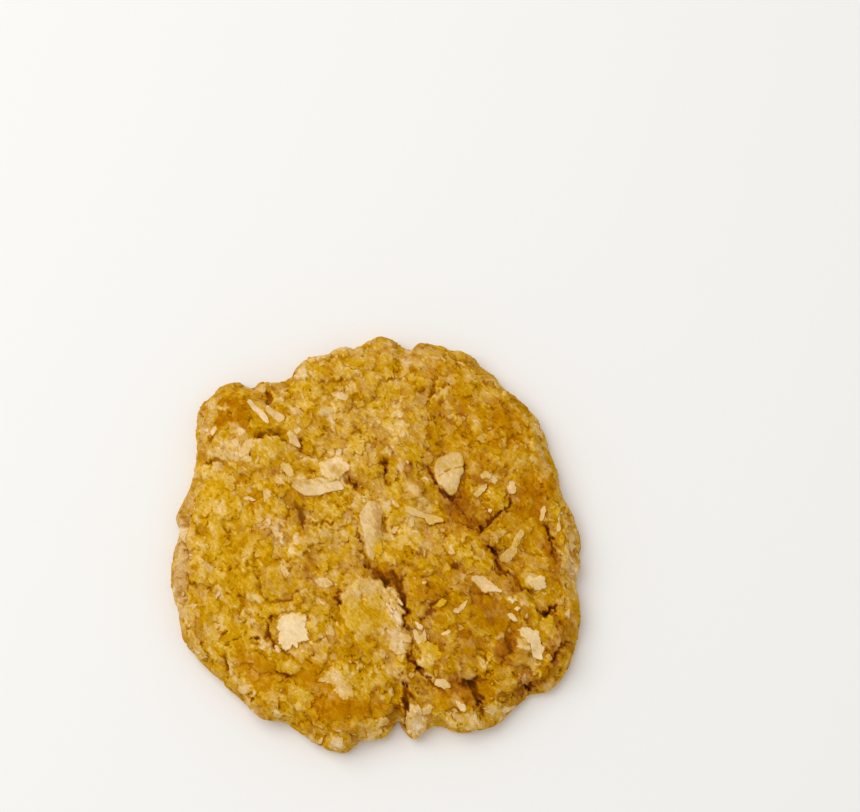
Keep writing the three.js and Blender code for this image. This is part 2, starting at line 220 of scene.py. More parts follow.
def turned(u: Array, v: Array, angle: float) -> tuple[Array, Array]:
    """Places measured along a direction, which is turned by that angle, and across it."""
    cosine, sine = math.cos(angle), math.sin(angle)
    return u * cosine + v * sine, v * cosine - u * sine


def around_turn(bearings: Array, values: Array, wanted: Array) -> Array:
    """Reads values that are known at some bearings at other bearings, across the turn's end too."""
    order = np.argsort(bearings)
    table = np.concatenate([bearings[order] - TURN, bearings[order], bearings[order] + TURN])
    return np.interp(wanted, table, np.tile(values[order], 3))


def draw(i: Array, j: Array, seed: int) -> Array:
    """A repeatable draw between 0 and 1 for whole-number places: the fraction of a large sine."""
    weight_i, weight_j, weight_seed, swing_size = 127.1, 311.7, 74.7, 43758.5453
    swing = np.sin(i * weight_i + j * weight_j + seed * weight_seed) * swing_size
    return swing - np.floor(swing)


def lattice_noise(x: Array, y: Array, size: float, seed: int) -> Array:
    """Smooth noise from -1 to 1: draws at the corners of squares, eased between them.

    Args:
        x: Places across.
        y: Places along.
        size: The squares' size, in the same unit.
        seed: Which noise.

    Returns:
        The noise at each place.
    """
    i, j = np.floor(x / size), np.floor(y / size)
    across, along = ease(x / size - i), ease(y / size - j)
    near = lerp(draw(i, j, seed), draw(i + 1, j, seed), across)
    far = lerp(draw(i, j + 1, seed), draw(i + 1, j + 1, seed), across)
    return 2.0 * lerp(near, far, along) - 1.0


@dataclass
class BakedForm:
    """The cookie's large form, on a map of its skin pulled flat.

    A place on the map has the bearing of its place on the cookie. Its distance from the map's middle
    is the true one on the top, and goes on growing down the side and round to the underside's edge.
    """

    thickness: float = 10.2  # mm
    shoulder_height: float = 7.0  # mm
    widest_height: float = 1.8  # mm above the underside
    side_run: float = 3.4  # mm seen from above, between the shoulder and the widest line
    base_inset: float = 1.1  # mm from the widest line in to the underside's edge
    side_fullness: float = 1.5  # the superellipse's power
    dome_power: float = 2.4
    lumps: tuple[Span, ...] = ((12.0, 0.5), (6.0, 0.42), (3.2, 0.34))  # mm wide, mm high
    side_lump: float = 0.8  # mm
    side_lump_size: float = 4.5  # mm
    side_twist: float = 2.0  # how far the side's lumps shift for each mm of height
    side_drape: float = 6.6  # mm of map between the shoulder and the widest line
    base_drape: float = 2.4  # mm of map between the widest line and the underside's edge
    rim_steps: int = 24  # points on each stretch of the widest line
    rim_bearings: Array = field(init=False)
    rim_radii: Array = field(init=False)

    def __post_init__(self) -> None:
        """Reads the widest line's distance from the middle at many bearings."""
        line = closed_spline(np.array(RIM, dtype=float), self.rim_steps)
        self.rim_bearings = np.arctan2(line[:, 1], line[:, 0])
        self.rim_radii = np.hypot(line[:, 0], line[:, 1])

    def rim(self, bearing: Array) -> Array:
        """The widest line's distance from the middle at each bearing."""
        return around_turn(self.rim_bearings, self.rim_radii, bearing)

    def reach(self, bearing: Array) -> Array:
        """The map's own edge at each bearing, which is the underside's edge."""
        return self.rim(bearing) - self.side_run + self.side_drape + self.base_drape

    def top_height(self, x: Array, y: Array) -> Array:
        """Height of the top: a low dome that falls by a power of the way out, and its lumps."""
        shoulder = self.rim(np.arctan2(y, x)) - self.side_run
        share = np.minimum(1.0, np.hypot(x, y) / shoulder)
        dome = self.shoulder_height + (self.thickness - self.shoulder_height) * (1.0 - share**self.dome_power)
        for seed, (size, height) in enumerate(self.lumps):
            dome = dome + height * lattice_noise(x, y, size, seed)
        return dome

    def skin(self, u: Array, v: Array) -> Array:
        """Places on the cookie for places on the map.

        Up to the shoulder a place keeps its distance from the middle. Down the side its distance and
        height follow a quarter of a superellipse, moved in and out by lumps, and under the widest line
        a quarter of an ellipse.

        Args:
            u: Map places across.
            v: Map places along.

        Returns:
            Places in mm, one row each.
        """
        bearing, distance = np.arctan2(v, u), np.hypot(u, v)
        rim = self.rim(bearing)
        shoulder = rim - self.side_run
        top_radius = np.minimum(distance, shoulder)
        top = self.top_height(top_radius * np.cos(bearing), top_radius * np.sin(bearing))
        quarter = math.pi / 2.0
        down = np.clip((distance - shoulder) / self.side_drape, 0.0, 1.0)
        angle = quarter * (1.0 - down)
        power = 2.0 / self.side_fullness
        side_inset = self.side_run * (1.0 - np.abs(np.cos(angle)) ** power)
        side_height = lerp(self.widest_height, top, np.sin(angle) ** power)
        edge_x, edge_y = rim * np.cos(bearing), rim * np.sin(bearing)
        twist = self.side_twist * side_height
        seed = len(self.lumps)
        lump = lattice_noise(edge_x + twist, edge_y - twist, self.side_lump_size, seed)
        side_radius = rim - side_inset + self.side_lump * np.sin(2.0 * angle) * lump
        under = quarter * np.clip((distance - shoulder - self.side_drape) / self.base_drape, 0.0, 1.0)
        base_radius = rim - self.base_inset * (1.0 - np.cos(under))
        base_height = self.widest_height * (1.0 - np.sin(under))
        on_top, on_base = distance <= shoulder, under > 0.0
        radius = np.where(on_top, distance, np.where(on_base, base_radius, side_radius))
        height = np.where(on_top, top, np.where(on_base, base_height, side_height))
        return np.stack([radius * np.cos(bearing), radius * np.sin(bearing), height], axis=-1)

    def facing(self, u: Array, v: Array, step: float = 0.3) -> Array:
        """The directions in which the skin faces: the cross product of its two slopes on the map."""
        along_u = self.skin(u + step, v) - self.skin(u - step, v)
        along_v = self.skin(u, v + step) - self.skin(u, v - step)
        normal = np.cross(along_u, along_v)
        return normal / np.linalg.norm(normal, axis=-1, keepdims=True)


# ---------------------------------------------------------------------------------------------
# What the photograph shows, by its pixels. Widths, depths and heights are real millimetres.
# ---------------------------------------------------------------------------------------------


@dataclass(frozen=True)
class Crevice:
    """A crack or the gap beside a flake: a ragged groove along a path, dark with painted shade."""

    width: float
    depth: float
    path: Pixels


@dataclass(frozen=True)
class Pit:
    """A small deep hole, given by its middle pixel and the mm across it."""

    pixel: Place
    width: float
    depth: float


@dataclass(frozen=True)
class Patch:
    """A stretch of dough of its own colour, or raised or sunk, with soft ragged edges."""

    pixel: Place
    length: float
    width: float
    turn: float = 0.0  # degrees anticlockwise from the right
    shade: float = 0.0  # lighter above 0, darker below
    dry: float = 0.0  # floury and beige above 0, buttery and golden below
    toast: float = 0.0  # orange above 0, yellow below
    rise: float = 0.0  # mm
    softness: float = 0.6  # share of its half length over which it fades


@dataclass(frozen=True)
class Slit:
    """A dark line cut into a flake, with its width in mm."""

    width: float
    path: Pixels


@dataclass(frozen=True)
class Flake:
    """An oat or a piece of nut, by the pixels round its outline where it shows singly."""

    name: str
    outline: Pixels = ()
    rise: float = 0.25  # mm that its rim stands above the dough
    crown: float = 0.2  # mm more at its middle
    shade: float = 0.72  # lightness
    dry: float = 0.85  # beige rather than golden
    toast: float = 0.0
    glaze: float = 0.25  # how much of it the golden dough has soaked
    tilt: Span = (0.0, 0.0)  # mm of rise for each mm to the right, and away
    paler: Span = (0.0, 0.0)  # how much lighter for each mm to the right, and away; on the upright oat, painted light on its left side and painted shade on its right
    slits: tuple[Slit, ...] = ()
    ragged: float = 0.05  # how far its edge strays, in mm
    loose: bool = False  # a body of its own, with a crisp rim, rather than baked into the skin

    def height(self, right: Array, away: Array, share: Array) -> Array:
        """Its top's height above the dough: the rim's rise, the crown, and the tilt.

        Args:
            right: Places to the right of its middle in mm.
            away: Places beyond its middle in mm.
            share: The share of the way out to its rim.

        Returns:
            The height in mm, below 0 where the dough buries it.
        """
        return self.rise + self.crown * (1.0 - share**2) + self.tilt[0] * right + self.tilt[1] * away


@dataclass(frozen=True)
class Slip:
    """A small flake, by the pixels at its two ends, and its width in mm."""

    start: Place
    end: Place
    width: float
    shade: float = 0.71
    loose: bool = False
    rise: float = 0.13
    toast: float = 0.0


CREVICES = tuple(Crevice(*row) for row in (
    # the main crack, and the notch where it leaves the rim
    (0.9, 0.8, ((364, 560), (370, 566), (376, 573), (386, 580), (393, 579))),
    (1.1, 1.5, ((394, 572), (398, 580), (400, 588), (402, 596), (403, 602), (407, 612))),
    (0.4, 1, ((407, 612), (404, 619), (404, 625), (408, 629), (413, 631))),
    (0.35, 0.8, ((412, 640), (413, 647), (410, 653), (409, 659), (413, 664))),
    (0.7, 1.2, ((414, 665), (419, 669), (424, 674), (431, 679))),
    (1.5, 1.2, ((404, 682), (406, 690), (405, 698), (404, 706), (403, 713))),
    (0.7, 1.4, ((403, 712), (402, 719), (401, 727))),
    # near right
    (1.5, 1.8, ((466, 681), (472, 685), (476, 692), (479, 701))),
    (0.5, 1, ((478, 698), (481, 706), (483, 715))),
    (0.5, 0.9, ((458, 683), (465, 682), (474, 681), (486, 680))),
    # right
    (0.55, 1, ((509, 494), (511, 501), (508, 508), (498, 513), (494, 517))),
    (0.8, 1.3, ((494, 516), (490, 521), (484, 526), (481, 530))),
    (0.35, 0.6, ((463, 523), (470, 527), (478, 530))),
    (0.6, 1.1, ((487, 545), (491, 549), (497, 553), (499, 557), (498, 562), (500, 568), (509, 575))),
    (0.8, 1.2, ((489, 547), (497, 554))),
    (0.4, 0.7, ((496, 571), (501, 575), (506, 573), (512, 576), (519, 580))),
    (0.45, 0.8, ((516, 581), (521, 588), (528, 590), (532, 592))),
    # the middle, and beside the oats there
    (0.5, 0.9, ((446, 594), (440, 598), (434, 605), (430, 612), (424, 618), (420, 620))),
    (0.6, 0.9, ((382, 458), (386, 464), (386, 470), (384, 476), (386, 484))),
    (0.4, 0.6, ((379, 464), (385, 464), (391, 458))),
    (0.75, 1.1, ((429, 463), (430, 470), (433, 477), (436, 484), (441, 491), (447, 495), (453, 499))),
    (0.3, 0.5, ((464, 462), (466, 469), (464, 476))),
    (0.5, 0.9, ((357, 530), (359, 537), (361, 544), (363, 551), (367, 558))),
    (0.35, 0.5, ((385, 512), (384, 522), (384, 534))),
    (0.7, 1.1, ((341, 588), (337, 594), (338, 602), (340, 612))),
    (0.35, 0.6, ((325, 624), (328, 620), (334, 619), (338, 622))),
    (0.35, 0.6, ((432, 524), (438, 523), (445, 522))),
    # far left and far side
    (0.6, 0.7, ((255, 437), (262, 434), (271, 433), (279, 434), (284, 440), (287, 445))),
    (0.35, 0.5, ((250, 408), (250, 418), (246, 427))), (0.8, 1.1, ((266, 392), (270, 398), (268, 402))),
    (0.5, 0.9, ((204, 463), (211, 463), (217, 459), (225, 464))),
    (0.35, 0.5, ((352, 395), (354, 402), (350, 410), (343, 414))),
    # left and near left
    (0.4, 0.7, ((345, 512), (341, 519), (333, 523), (320, 522), (313, 526))),
    (0.6, 0.9, ((349, 478), (354, 484), (359, 489))), (0.5, 0.6, ((309, 467), (313, 471), (318, 475))),
    (0.8, 0.7, ((294, 500), (299, 508), (302, 518), (305, 528))),
    (0.4, 0.7, ((257, 575), (260, 592), (268, 601), (280, 602), (291, 598), (298, 590))),
    (0.5, 0.7, ((269, 640), (276, 648), (283, 654), (292, 655))),
    (0.6, 1.1, ((269, 624), (267, 632), (268, 638))), (0.35, 0.6, ((271, 618), (278, 616), (286, 611))),
    (0.45, 0.7, ((273, 670), (281, 674), (290, 677), (297, 676))),
    (0.5, 0.9, ((223, 655), (226, 664), (229, 673))),
    # right and near right rims
    (0.5, 0.8, ((427, 682), (435, 687), (444, 690))),
    (0.6, 1.2, ((545, 525), (549, 534), (552, 545), (555, 556), (556, 566))),
    (0.3, 0.5, ((536, 505), (540, 515))), (0.5, 0.7, ((537, 609), (544, 613), (550, 610), (557, 605))),
    (0.6, 1, ((545, 610), (545, 616))), (0.6, 1.1, ((570, 644), (562, 646), (557, 654), (552, 663))),
    (0.4, 0.7, ((559, 618), (563, 628))),
    (0.45, 0.8, ((512, 636), (510, 645), (510, 652), (505, 656), (500, 665))),
    (0.35, 0.6, ((519, 613), (524, 619), (529, 625))), (0.35, 0.6, ((521, 666), (526, 672))),
    (0.6, 0.9, ((522, 687), (529, 689), (535, 687))),
    # small ones elsewhere
    (0.3, 0.5, ((459, 433), (467, 438), (474, 441), (484, 443))),
    (0.3, 0.5, ((516, 438), (523, 443), (529, 448))), (0.35, 0.5, ((430, 398), (437, 390), (447, 384))),
    (0.3, 0.5, ((407, 540), (409, 547), (413, 553))),
    (0.3, 0.5, ((472, 590), (482, 594), (494, 596), (501, 594))),
    (0.6, 0.7, ((451, 563), (455, 567), (459, 565))), (0.35, 0.6, ((300, 440), (301, 446), (303, 451))),
    (0.35, 0.5, ((292, 726), (303, 722), (315, 726), (330, 730))),
))

PITS = tuple(Pit(*row) for row in (
    ((267, 629), 0.9, 1.3), ((256, 638), 1.1, 1.2), ((271, 619), 0.7, 0.8), ((223, 633), 0.8, 0.9),
    ((227, 643), 0.7, 0.8), ((234, 639), 0.7, 0.9), ((237, 618), 0.7, 0.8), ((208, 589), 0.6, 0.8),
    ((237, 577), 0.6, 0.7), ((313, 654), 0.8, 0.9), ((310, 662), 0.6, 0.7), ((347, 367), 0.7, 0.7),
    ((380, 370), 0.6, 0.6), ((324, 381), 0.7, 0.7), ((311, 392), 0.7, 0.7), ((362, 394), 0.6, 0.6),
    ((337, 412), 0.6, 0.6), ((535, 465), 0.7, 0.8), ((554, 608), 1.3, 1.4), ((547, 612), 1.1, 1.2),
    ((539, 610), 0.8, 0.9), ((444, 523), 0.6, 0.9), ((472, 686), 1.5, 1.6), ((315, 523), 0.6, 0.7),
    ((256, 438), 0.6, 0.7), ((313, 470), 0.7, 0.7), ((404, 684), 1, 1.2), ((419, 669), 0.9, 1),
    ((489, 443), 0.5, 0.5), ((436, 430), 0.5, 0.5), ((528, 689), 1.1, 1), ((498, 523), 0.5, 0.5),
    ((540, 566), 0.6, 0.6), ((231, 596), 0.5, 0.5),
))

PATCHES = tuple(Patch(*row) for row in (
    # broad changes of tone across the cookie; the first, which darkens the right half, is painted shade
    ((495, 590), 46, 27, 80, -0.035, -0.05, 0.15, 0, 0.5), ((486, 424), 18, 13, -50, -0.03, -0.25, 0.55),
    ((478, 668), 22, 12, 20, -0.01, 0.05, 0.15), ((292, 684), 26, 12, -24, 0.005, -0.5, 0.3),
    ((262, 440), 16, 9, -20, 0, -0.35), ((325, 377), 12, 6, 15, 0.01, -0.35),
    ((299, 545), 7, 5, 0, 0.01, -0.35), ((222, 545), 12, 28, 4, 0.01, -0.3, -0.1),
    ((350, 425), 22, 14, 0, 0.02, 0.15, -0.1),
    # darker places; those beside the cracks, in the cave and down the right rim are painted shade; and
    # toasted places
    ((461, 508), 9, 5.2, -50, -0.23, 0, 0.3, -0.2), ((298, 508), 8.5, 2.8, -75, -0.13, 0.25, 0, -0.15),
    ((309, 565), 5.6, 2.6, 80, -0.1, 0.1, 0.1, -0.1), ((488, 608), 8.6, 5.4, -60, -0.15, 0, 0.1, -0.1),
    ((472, 645), 6, 3.8, -70, -0.11, 0, 0.1, -0.05), ((506, 650), 6.5, 3, 60, -0.16, 0, 0.2, -0.15),
    ((346, 709), 11, 3.4, 3, -0.11, -0.4, 1.3, 0.1), ((231, 408), 7, 5.6, 60, -0.04, -0.5, 1.1, 0.3, 0.4),
    ((229, 399), 4.4, 1.8, 20, -0.06, 0, 0.6), ((228, 417), 3, 2.4, 0, -0.07, 0, 0.6),
    ((538, 492), 8, 6.5, 60, -0.07, -0.3, 1.4), ((256, 668), 8, 4, -45, -0.02, -0.4, 1),
    ((318, 684), 8, 4, -40, -0.03, -0.4, 0.7), ((478, 480), 2.4, 2.4, 0, -0.1, 0.1, 0.1, -0.1),
    ((394, 588), 6.5, 3, -60, -0.16, 0.1, 0.1, -0.25), ((378, 574), 5, 2.6, -20, -0.12, 0.1, 0.1, -0.15),
    ((410, 648), 8, 2, -85, -0.14, 0.3, 0.1, -0.25), ((405, 697), 5.6, 1.4, 88, -0.1, 0.1, 0.1, -0.15, 0.3),
    ((560, 645), 12, 3.6, 70, -0.12, 0.1, 0.3), ((530, 684), 10, 3.4, 25, -0.12, 0, 0.3),
    ((549, 556), 9.5, 2.2, -75, -0.1, -0.1, 0.5), ((268, 433), 5.6, 1.4, 2, -0.09, 0.1, 0.1, -0.15),
    ((352, 486), 2.8, 1.8, -40, -0.12, 0.2, 0, -0.1), ((450, 592), 11, 5, -20, -0.08, 0, 0.1),
    ((435, 425), 14, 4.2, -83, -0.08, 0, 0.1), ((470, 690), 7, 4.5, -20, -0.12, 0.1, 0.1, -0.1),
    # golden stretches
    ((207, 496), 8, 2.6, 85, 0.03, -0.6, -0.7), ((259, 554), 5, 3, 0, 0.03, -0.6, -0.8, 0.1),
    ((556, 510), 5.4, 1.6, -80, 0.04, -0.6, -0.7), ((330, 509), 7, 4.2, 20, 0.02, -0.3, 0.1, 0.3, 0.35),
    ((380, 549), 2.4, 3.2, 0, 0.07, -0.5, -0.4, 0.25, 0.4),
    ((426, 650), 4.2, 2, -62, 0.07, -0.7, -0.8, 0.35, 0.3),
    ((426, 663), 3.6, 2, 0, 0.13, 0.1, -0.4, 0.35, 0.3), ((277, 583), 7.6, 5.8, 40, 0.02, 0.1, 0, 0.4, 0.3),
    ((441, 394), 4, 2.4, 35, 0.06, -0.4, -0.6, 0.25, 0.4), ((440, 545), 7, 4.5, -20, 0.02, -0.1, 0, 0.1),
    ((497, 500), 4.6, 3.6, 45, 0.04, -0.3, 0.2, 0.2, 0.4), ((457, 614), 7, 5, 60, 0.03, -0.2, 0, 0.15),
    ((347, 664), 8, 5, -30, -0.045, -0.4, -0.1, 0.1),
    # pale stretches
    ((231, 450), 7, 4, 10, 0.09, 0.5, -0.1, 0.1), ((186, 540), 5, 20, 0, 0.03, 0.8),
    ((178, 590), 3, 12, 0, 0.04, 0.4), ((203, 425), 3, 9, 0, 0.04, 0.4),
    ((336, 466), 6.4, 4.2, 10, 0.09, 0.3, -0.1, 0.1), ((343, 686), 6.2, 4.2, -10, 0.02, -0.1, 0, 0.05, 0.8),
    ((401, 640), 4, 3.4, 0, 0.06, 0.8, -0.1), ((392, 668), 3.6, 4.4, 0, 0.05, 0.4),
    ((276, 530), 5, 5, 0, 0.04, 0.5), ((360, 350), 16, 2, -10, 0.05, 0.4),
    ((505, 398), 12, 1.6, -46, 0.05, 0.3, 0.1), ((570, 560), 2.4, 14, 8, 0.06, 0.5),
    ((366, 592), 6, 3.4, 20, 0.05, 0.5), ((301, 376), 3.4, 4.6, 20, 0.12, 0.5, -0.1, 0.1),
    ((291, 652), 4, 2, 0, 0.07, 0.5, 0, 0.1), ((262, 708), 12, 2.2, -33, 0.03, 0.3, 0.1),
    ((388, 430), 7, 5, 0, 0.03, 0.3), ((345, 540), 6, 4, 0, 0.03, 0.3),
    ((412, 726), 5, 5, 0, 0.24, 0.6, -0.2, 0, 0.5), ((476, 714), 8, 3.4, 25, 0.13),
    # small changes of tone
    ((329, 582), 5, 4.6, 0, 0.065, 0.1), ((371, 570), 2.8, 2.4, 0, 0.11),
    ((470, 551), 5.4, 4.6, -30, 0.075, -0.1, 0, 0.05), ((490, 661), 5, 4.2, 60, 0.08, -0.2, 0, 0.1),
    ((345, 492), 4.6, 2.4, 0, 0.05, -0.2), ((266, 604), 4.6, 3, 60, 0.045, -0.3),
    ((451, 409), 5, 2.8, 90, 0.05, -0.1), ((392, 430), 4, 4, 0, 0, -0.5), ((288, 667), 7, 4, -20, 0, -0.7),
    ((403, 668), 4, 3, 0, 0.03, -0.4), ((524, 569), 3, 3, 0, -0.06, 0, 0.1),
    ((370, 389), 3.6, 2.6, 0, -0.05, 0, 0.1), ((413, 418), 3.2, 5, 0, -0.085, 0, 0.1),
    ((372, 410), 3.6, 3.2, 0, 0.075, -0.1), ((388, 527), 2.6, 3.4, 0, 0.075, -0.3),
    ((268, 690), 3.4, 3, -30, -0.085, 0, 0.2), ((229, 509), 3, 3, 0, -0.075, -0.5),
    ((441, 370), 6.4, 3, 10, -0.075, 0, 0.1), ((307, 408), 3.2, 3.4, 0, -0.06, -0.5),
    ((469, 491), 2.6, 2.6, 0, -0.065, 0, 0.1), ((407, 370), 4.6, 2.6, 10, 0, -0.5),
    ((411, 611), 2.4, 3, 0, 0, -0.5), ((400, 512), 5.4, 2.8, 0, 0, -0.4), ((290, 450), 3, 3, 0, 0, 0.4),
    ((227, 532), 3.4, 3.4, 0, 0, 0.4),
))

# Stains over flakes and dough alike; the dark mark at the crescent's far left end and the one along the
# upright oat's right side are painted shade.
STAINS_AND_SHADE = tuple(Patch(*row) for row in (
    ((366, 612), 6, 3.2, -25, -0.02, -0.6, 0.1), ((346, 622), 4, 4, 0, 0, -0.6, -0.3),
    ((350, 593), 3.6, 4.4, 60, 0.07, 0.2, -0.2), ((371, 587), 4, 2.6, -30, 0.03, 0.5),
    ((393, 611), 5.6, 1.6, -62, 0.06, 0.2), ((339, 472), 2.8, 1.9, -30, -0.12, 0, 0.1),
    ((320, 467), 1, 2.2, 0, -0.05, -0.6, 0.4), ((299, 483), 2.6, 1.4, 20, -0.07, 0.1),
    ((317, 481), 5, 0.9, 0, -0.07), ((378, 520), 1.7, 6.4, 4, -0.07, 0.2, 0, 0, 0.3),
    ((377, 549), 1.8, 3, 0, -0.05, -0.6, -0.2, 0, 0.4), ((450, 482), 3.4, 2.2, -40, 0.04, 0.1),
    ((462, 459), 0.8, 2.2, 0, -0.03, -0.6, -0.2), ((296, 614), 1.6, 0.8, 0, -0.06, -0.6, -0.3),
))

OATS = (
    Flake(
        "slit oat",
        ((434, 470), (435, 463), (438, 459), (444, 455), (450, 453), (456, 451.5), (460, 453), (463, 457),
         (464, 463), (463, 468), (464, 472.5), (460.5, 477), (459.5, 484), (457.5, 489), (455, 493.5),
         (451, 495), (447, 492), (443, 487.5), (439, 485), (435.5, 478)),
        rise=0.27, crown=0.2, shade=0.76, dry=0.75, glaze=0.25, paler=(0.002, -0.01), ragged=0.025,
        loose=True,
        slits=(Slit(0.34, ((445, 473), (448, 471.5), (450.5, 470))),
               Slit(0.24, ((455, 469), (459, 468), (463, 466.5))), Slit(0.2, ((439, 477), (443, 475)))),
    ),
    Flake(
        "crescent",
        ((291, 485), (294, 481), (300, 479.5), (307, 479.5), (315, 478), (323, 478), (331, 479.5),
         (338, 480.5), (343, 484), (344, 489), (337, 491), (329, 492.5), (321, 495), (313, 496),
         (305, 495.5), (297, 491)),
        rise=0.2, crown=0.15, shade=0.81, dry=0.8, glaze=0.15, tilt=(0.01, -0.12), paler=(0.006, -0.015),
        ragged=0.025, loose=True,
    ),
    Flake(
        "torn oat",
        ((320, 463), (326, 461), (333, 461), (336, 457), (343, 459), (347, 463), (350, 467), (348, 472),
         (343, 474), (340, 480), (334, 481), (328, 482), (325, 478), (321, 474), (319, 468)),
        rise=0.22, crown=0.12, shade=0.845, dry=0.6, toast=-0.2, glaze=0.1, tilt=(0.03, -0.06),
        ragged=0.08, loose=True,
    ),
    Flake(
        "upright oat",
        ((366, 505), (370, 501), (375, 499.5), (380, 503), (383, 510), (382, 520), (381, 530), (383, 540),
         (379, 545), (376, 556), (372, 561), (368, 557), (365, 545), (363, 533), (361, 524), (359.5, 518),
         (361, 512)),
        # painted light on its left side and painted shade on its right
        rise=0.14, crown=0.4, shade=0.76, dry=0.85, glaze=0.15, tilt=(-0.07, 0.0), paler=(-0.02, 0.0),
        loose=True,
    ),
    Flake(
        "leaf",
        ((471, 577.5), (475.5, 575.3), (481.5, 575.5), (487, 577.5), (491.5, 582), (496.5, 587),
         (502, 592.3), (497, 593), (490, 592.5), (485, 593.3), (481, 591), (479, 586.5), (475.5, 583.5),
         (472.5, 581)),
        rise=0.2, crown=0.15, shade=0.8, dry=0.8, glaze=0.1, tilt=(0.0, -0.1), paler=(0.01, -0.01),
        loose=True,
    ),
    Flake(
        "big oat",
        ((341, 600), (342, 592), (349, 586), (356, 583), (361, 579), (369, 577), (377, 580), (384, 585),
         (389, 592), (393, 600), (395, 610), (392, 620), (386, 630), (376, 637), (364, 637), (352, 632),
         (344, 624), (340, 612)),
        rise=0.25, crown=0.25, shade=0.7, dry=0.4, glaze=0.3, tilt=(-0.03, 0.0),
        slits=(Slit(0.22, ((359, 587), (361, 593), (364, 603))),
               Slit(0.2, ((376, 590), (379, 595), (381, 599)))),
    ),
    Flake(
        "big oat's ridge",
        ((385, 588), (390, 588), (396, 592), (401, 600), (404, 610), (404, 621), (401, 631), (396, 629),
         (393, 617), (391, 605), (386, 597)),
        rise=0.35, crown=0.15, shade=0.73, dry=0.6, glaze=0.35,
    ),
    Flake(
        "long oat",
        ((404, 508), (409, 506), (415, 508), (422, 512), (430, 514), (438, 516), (443, 519), (442, 522),
         (436, 523), (431, 525), (427, 523), (424, 518), (417, 517), (410, 515), (405, 512)),
        rise=0.17, crown=0.15, shade=0.77, dry=0.5, glaze=0.2, tilt=(0.01, -0.06), paler=(0.005, 0.0),
        loose=True,
    ),
    Flake(
        "white sliver",
        ((247, 402), (250, 400), (256, 405), (262, 409.5), (265, 413), (269, 420), (268, 424), (264, 422),
         (259, 416), (254, 411)),
        rise=0.24, crown=0.1, shade=0.84, dry=0.8, glaze=0.05, ragged=0.04, loose=True,
    ),
    Flake(
        "second sliver",
        ((265.5, 408), (267.6, 405.2), (272, 408), (276.5, 410.7), (281, 413.5), (285, 416.5),
         (283.5, 420.5), (279, 422), (275, 419), (272, 416.5), (268.5, 413.8), (265.5, 410.5)),
        rise=0.16, crown=0.1, shade=0.79, dry=0.75, glaze=0.2, tilt=(-0.05, 0.04), ragged=0.02, loose=True,
    ),
    Flake(
        "oat over the cave",
        ((254, 443), (257, 440), (262, 438), (270, 437), (278, 437), (282, 438), (284, 443), (287, 448),
         (285, 455), (279, 458), (270, 460), (262, 458), (256, 453), (253, 448)),
        rise=0.3, crown=0.15, shade=0.69, dry=0.2, glaze=0.4, tilt=(0.0, 0.08),
    ),
    Flake(
        "fan",
        ((501, 561), (501, 556), (507, 550), (512, 542), (516, 534), (521, 530), (524, 533), (521, 540),
         (517, 548), (516, 555), (512, 560), (506, 563)),
        rise=0.2, crown=0.1, shade=0.74, dry=0.6, glaze=0.3, tilt=(0.1, 0.0), loose=True,
    ),
    Flake(
        "left clump's flake",
        ((263, 570), (270, 564), (279, 564), (287, 569), (293, 577), (293, 587), (287, 595), (277, 598),
         (266, 596), (260, 589), (259, 578)),
        rise=0.15, crown=0.3, shade=0.66, dry=0.4, glaze=0.6,
    ),
    Flake(
        "near clump's flake",
        ((276, 662), (283, 659), (291, 660), (298, 663), (300, 668), (296, 674), (288, 675), (280, 672),
         (275, 668)),
        rise=0.22, crown=0.15, shade=0.68, dry=0.1, glaze=0.4,
    ),
)

NUTS = (
    Flake(
        "pale nut",
        ((277, 627), (278, 619), (283, 615), (290, 612), (298, 611), (304, 614), (307, 620), (306, 627),
         (309, 634), (309, 640), (303, 642), (299, 644), (298, 648), (293, 646), (289, 650), (283, 649),
         (279, 642), (278, 634)),
        rise=0.22, crown=0.18, shade=0.83, dry=0.85, glaze=0.1, tilt=(0.04, -0.04), ragged=0.08,
        loose=True,
    ),
    Flake(
        "round nut",
        ((524.5, 577), (528, 575), (533, 577), (536, 577), (540, 574.5), (544.5, 578), (545.5, 584),
         (543, 589), (540, 591), (535, 589.5), (531, 587), (526, 583)),
        rise=0.14, crown=0.18, shade=0.8, dry=0.8, glaze=0.2, tilt=(0.1, 0.0), paler=(0.014, 0.0),
        ragged=0.07, loose=True,
    ),
    Flake(
        "scalloped nut",
        ((516, 629.5), (523, 627), (529, 628), (531, 629.5), (534, 629.5), (538, 631.5), (540, 637),
         (541.5, 641), (541.5, 645), (545, 648), (544, 652), (542, 655), (543, 658), (540, 660),
         (535, 659), (533, 656), (531, 651), (528, 643), (523, 637), (518.5, 635)),
        rise=0.16, crown=0.15, shade=0.8, dry=0.85, glaze=0.15, tilt=(0.08, 0.0), paler=(0.012, -0.004),
        ragged=0.07, loose=True,
    ),
    Flake(
        "rim nut",
        ((408, 709), (414, 706), (420, 709), (422, 715), (418, 721), (412, 722), (408, 717)),
        rise=0.3, crown=0.2, shade=0.77, dry=0.8, glaze=0.05,
    ),
)

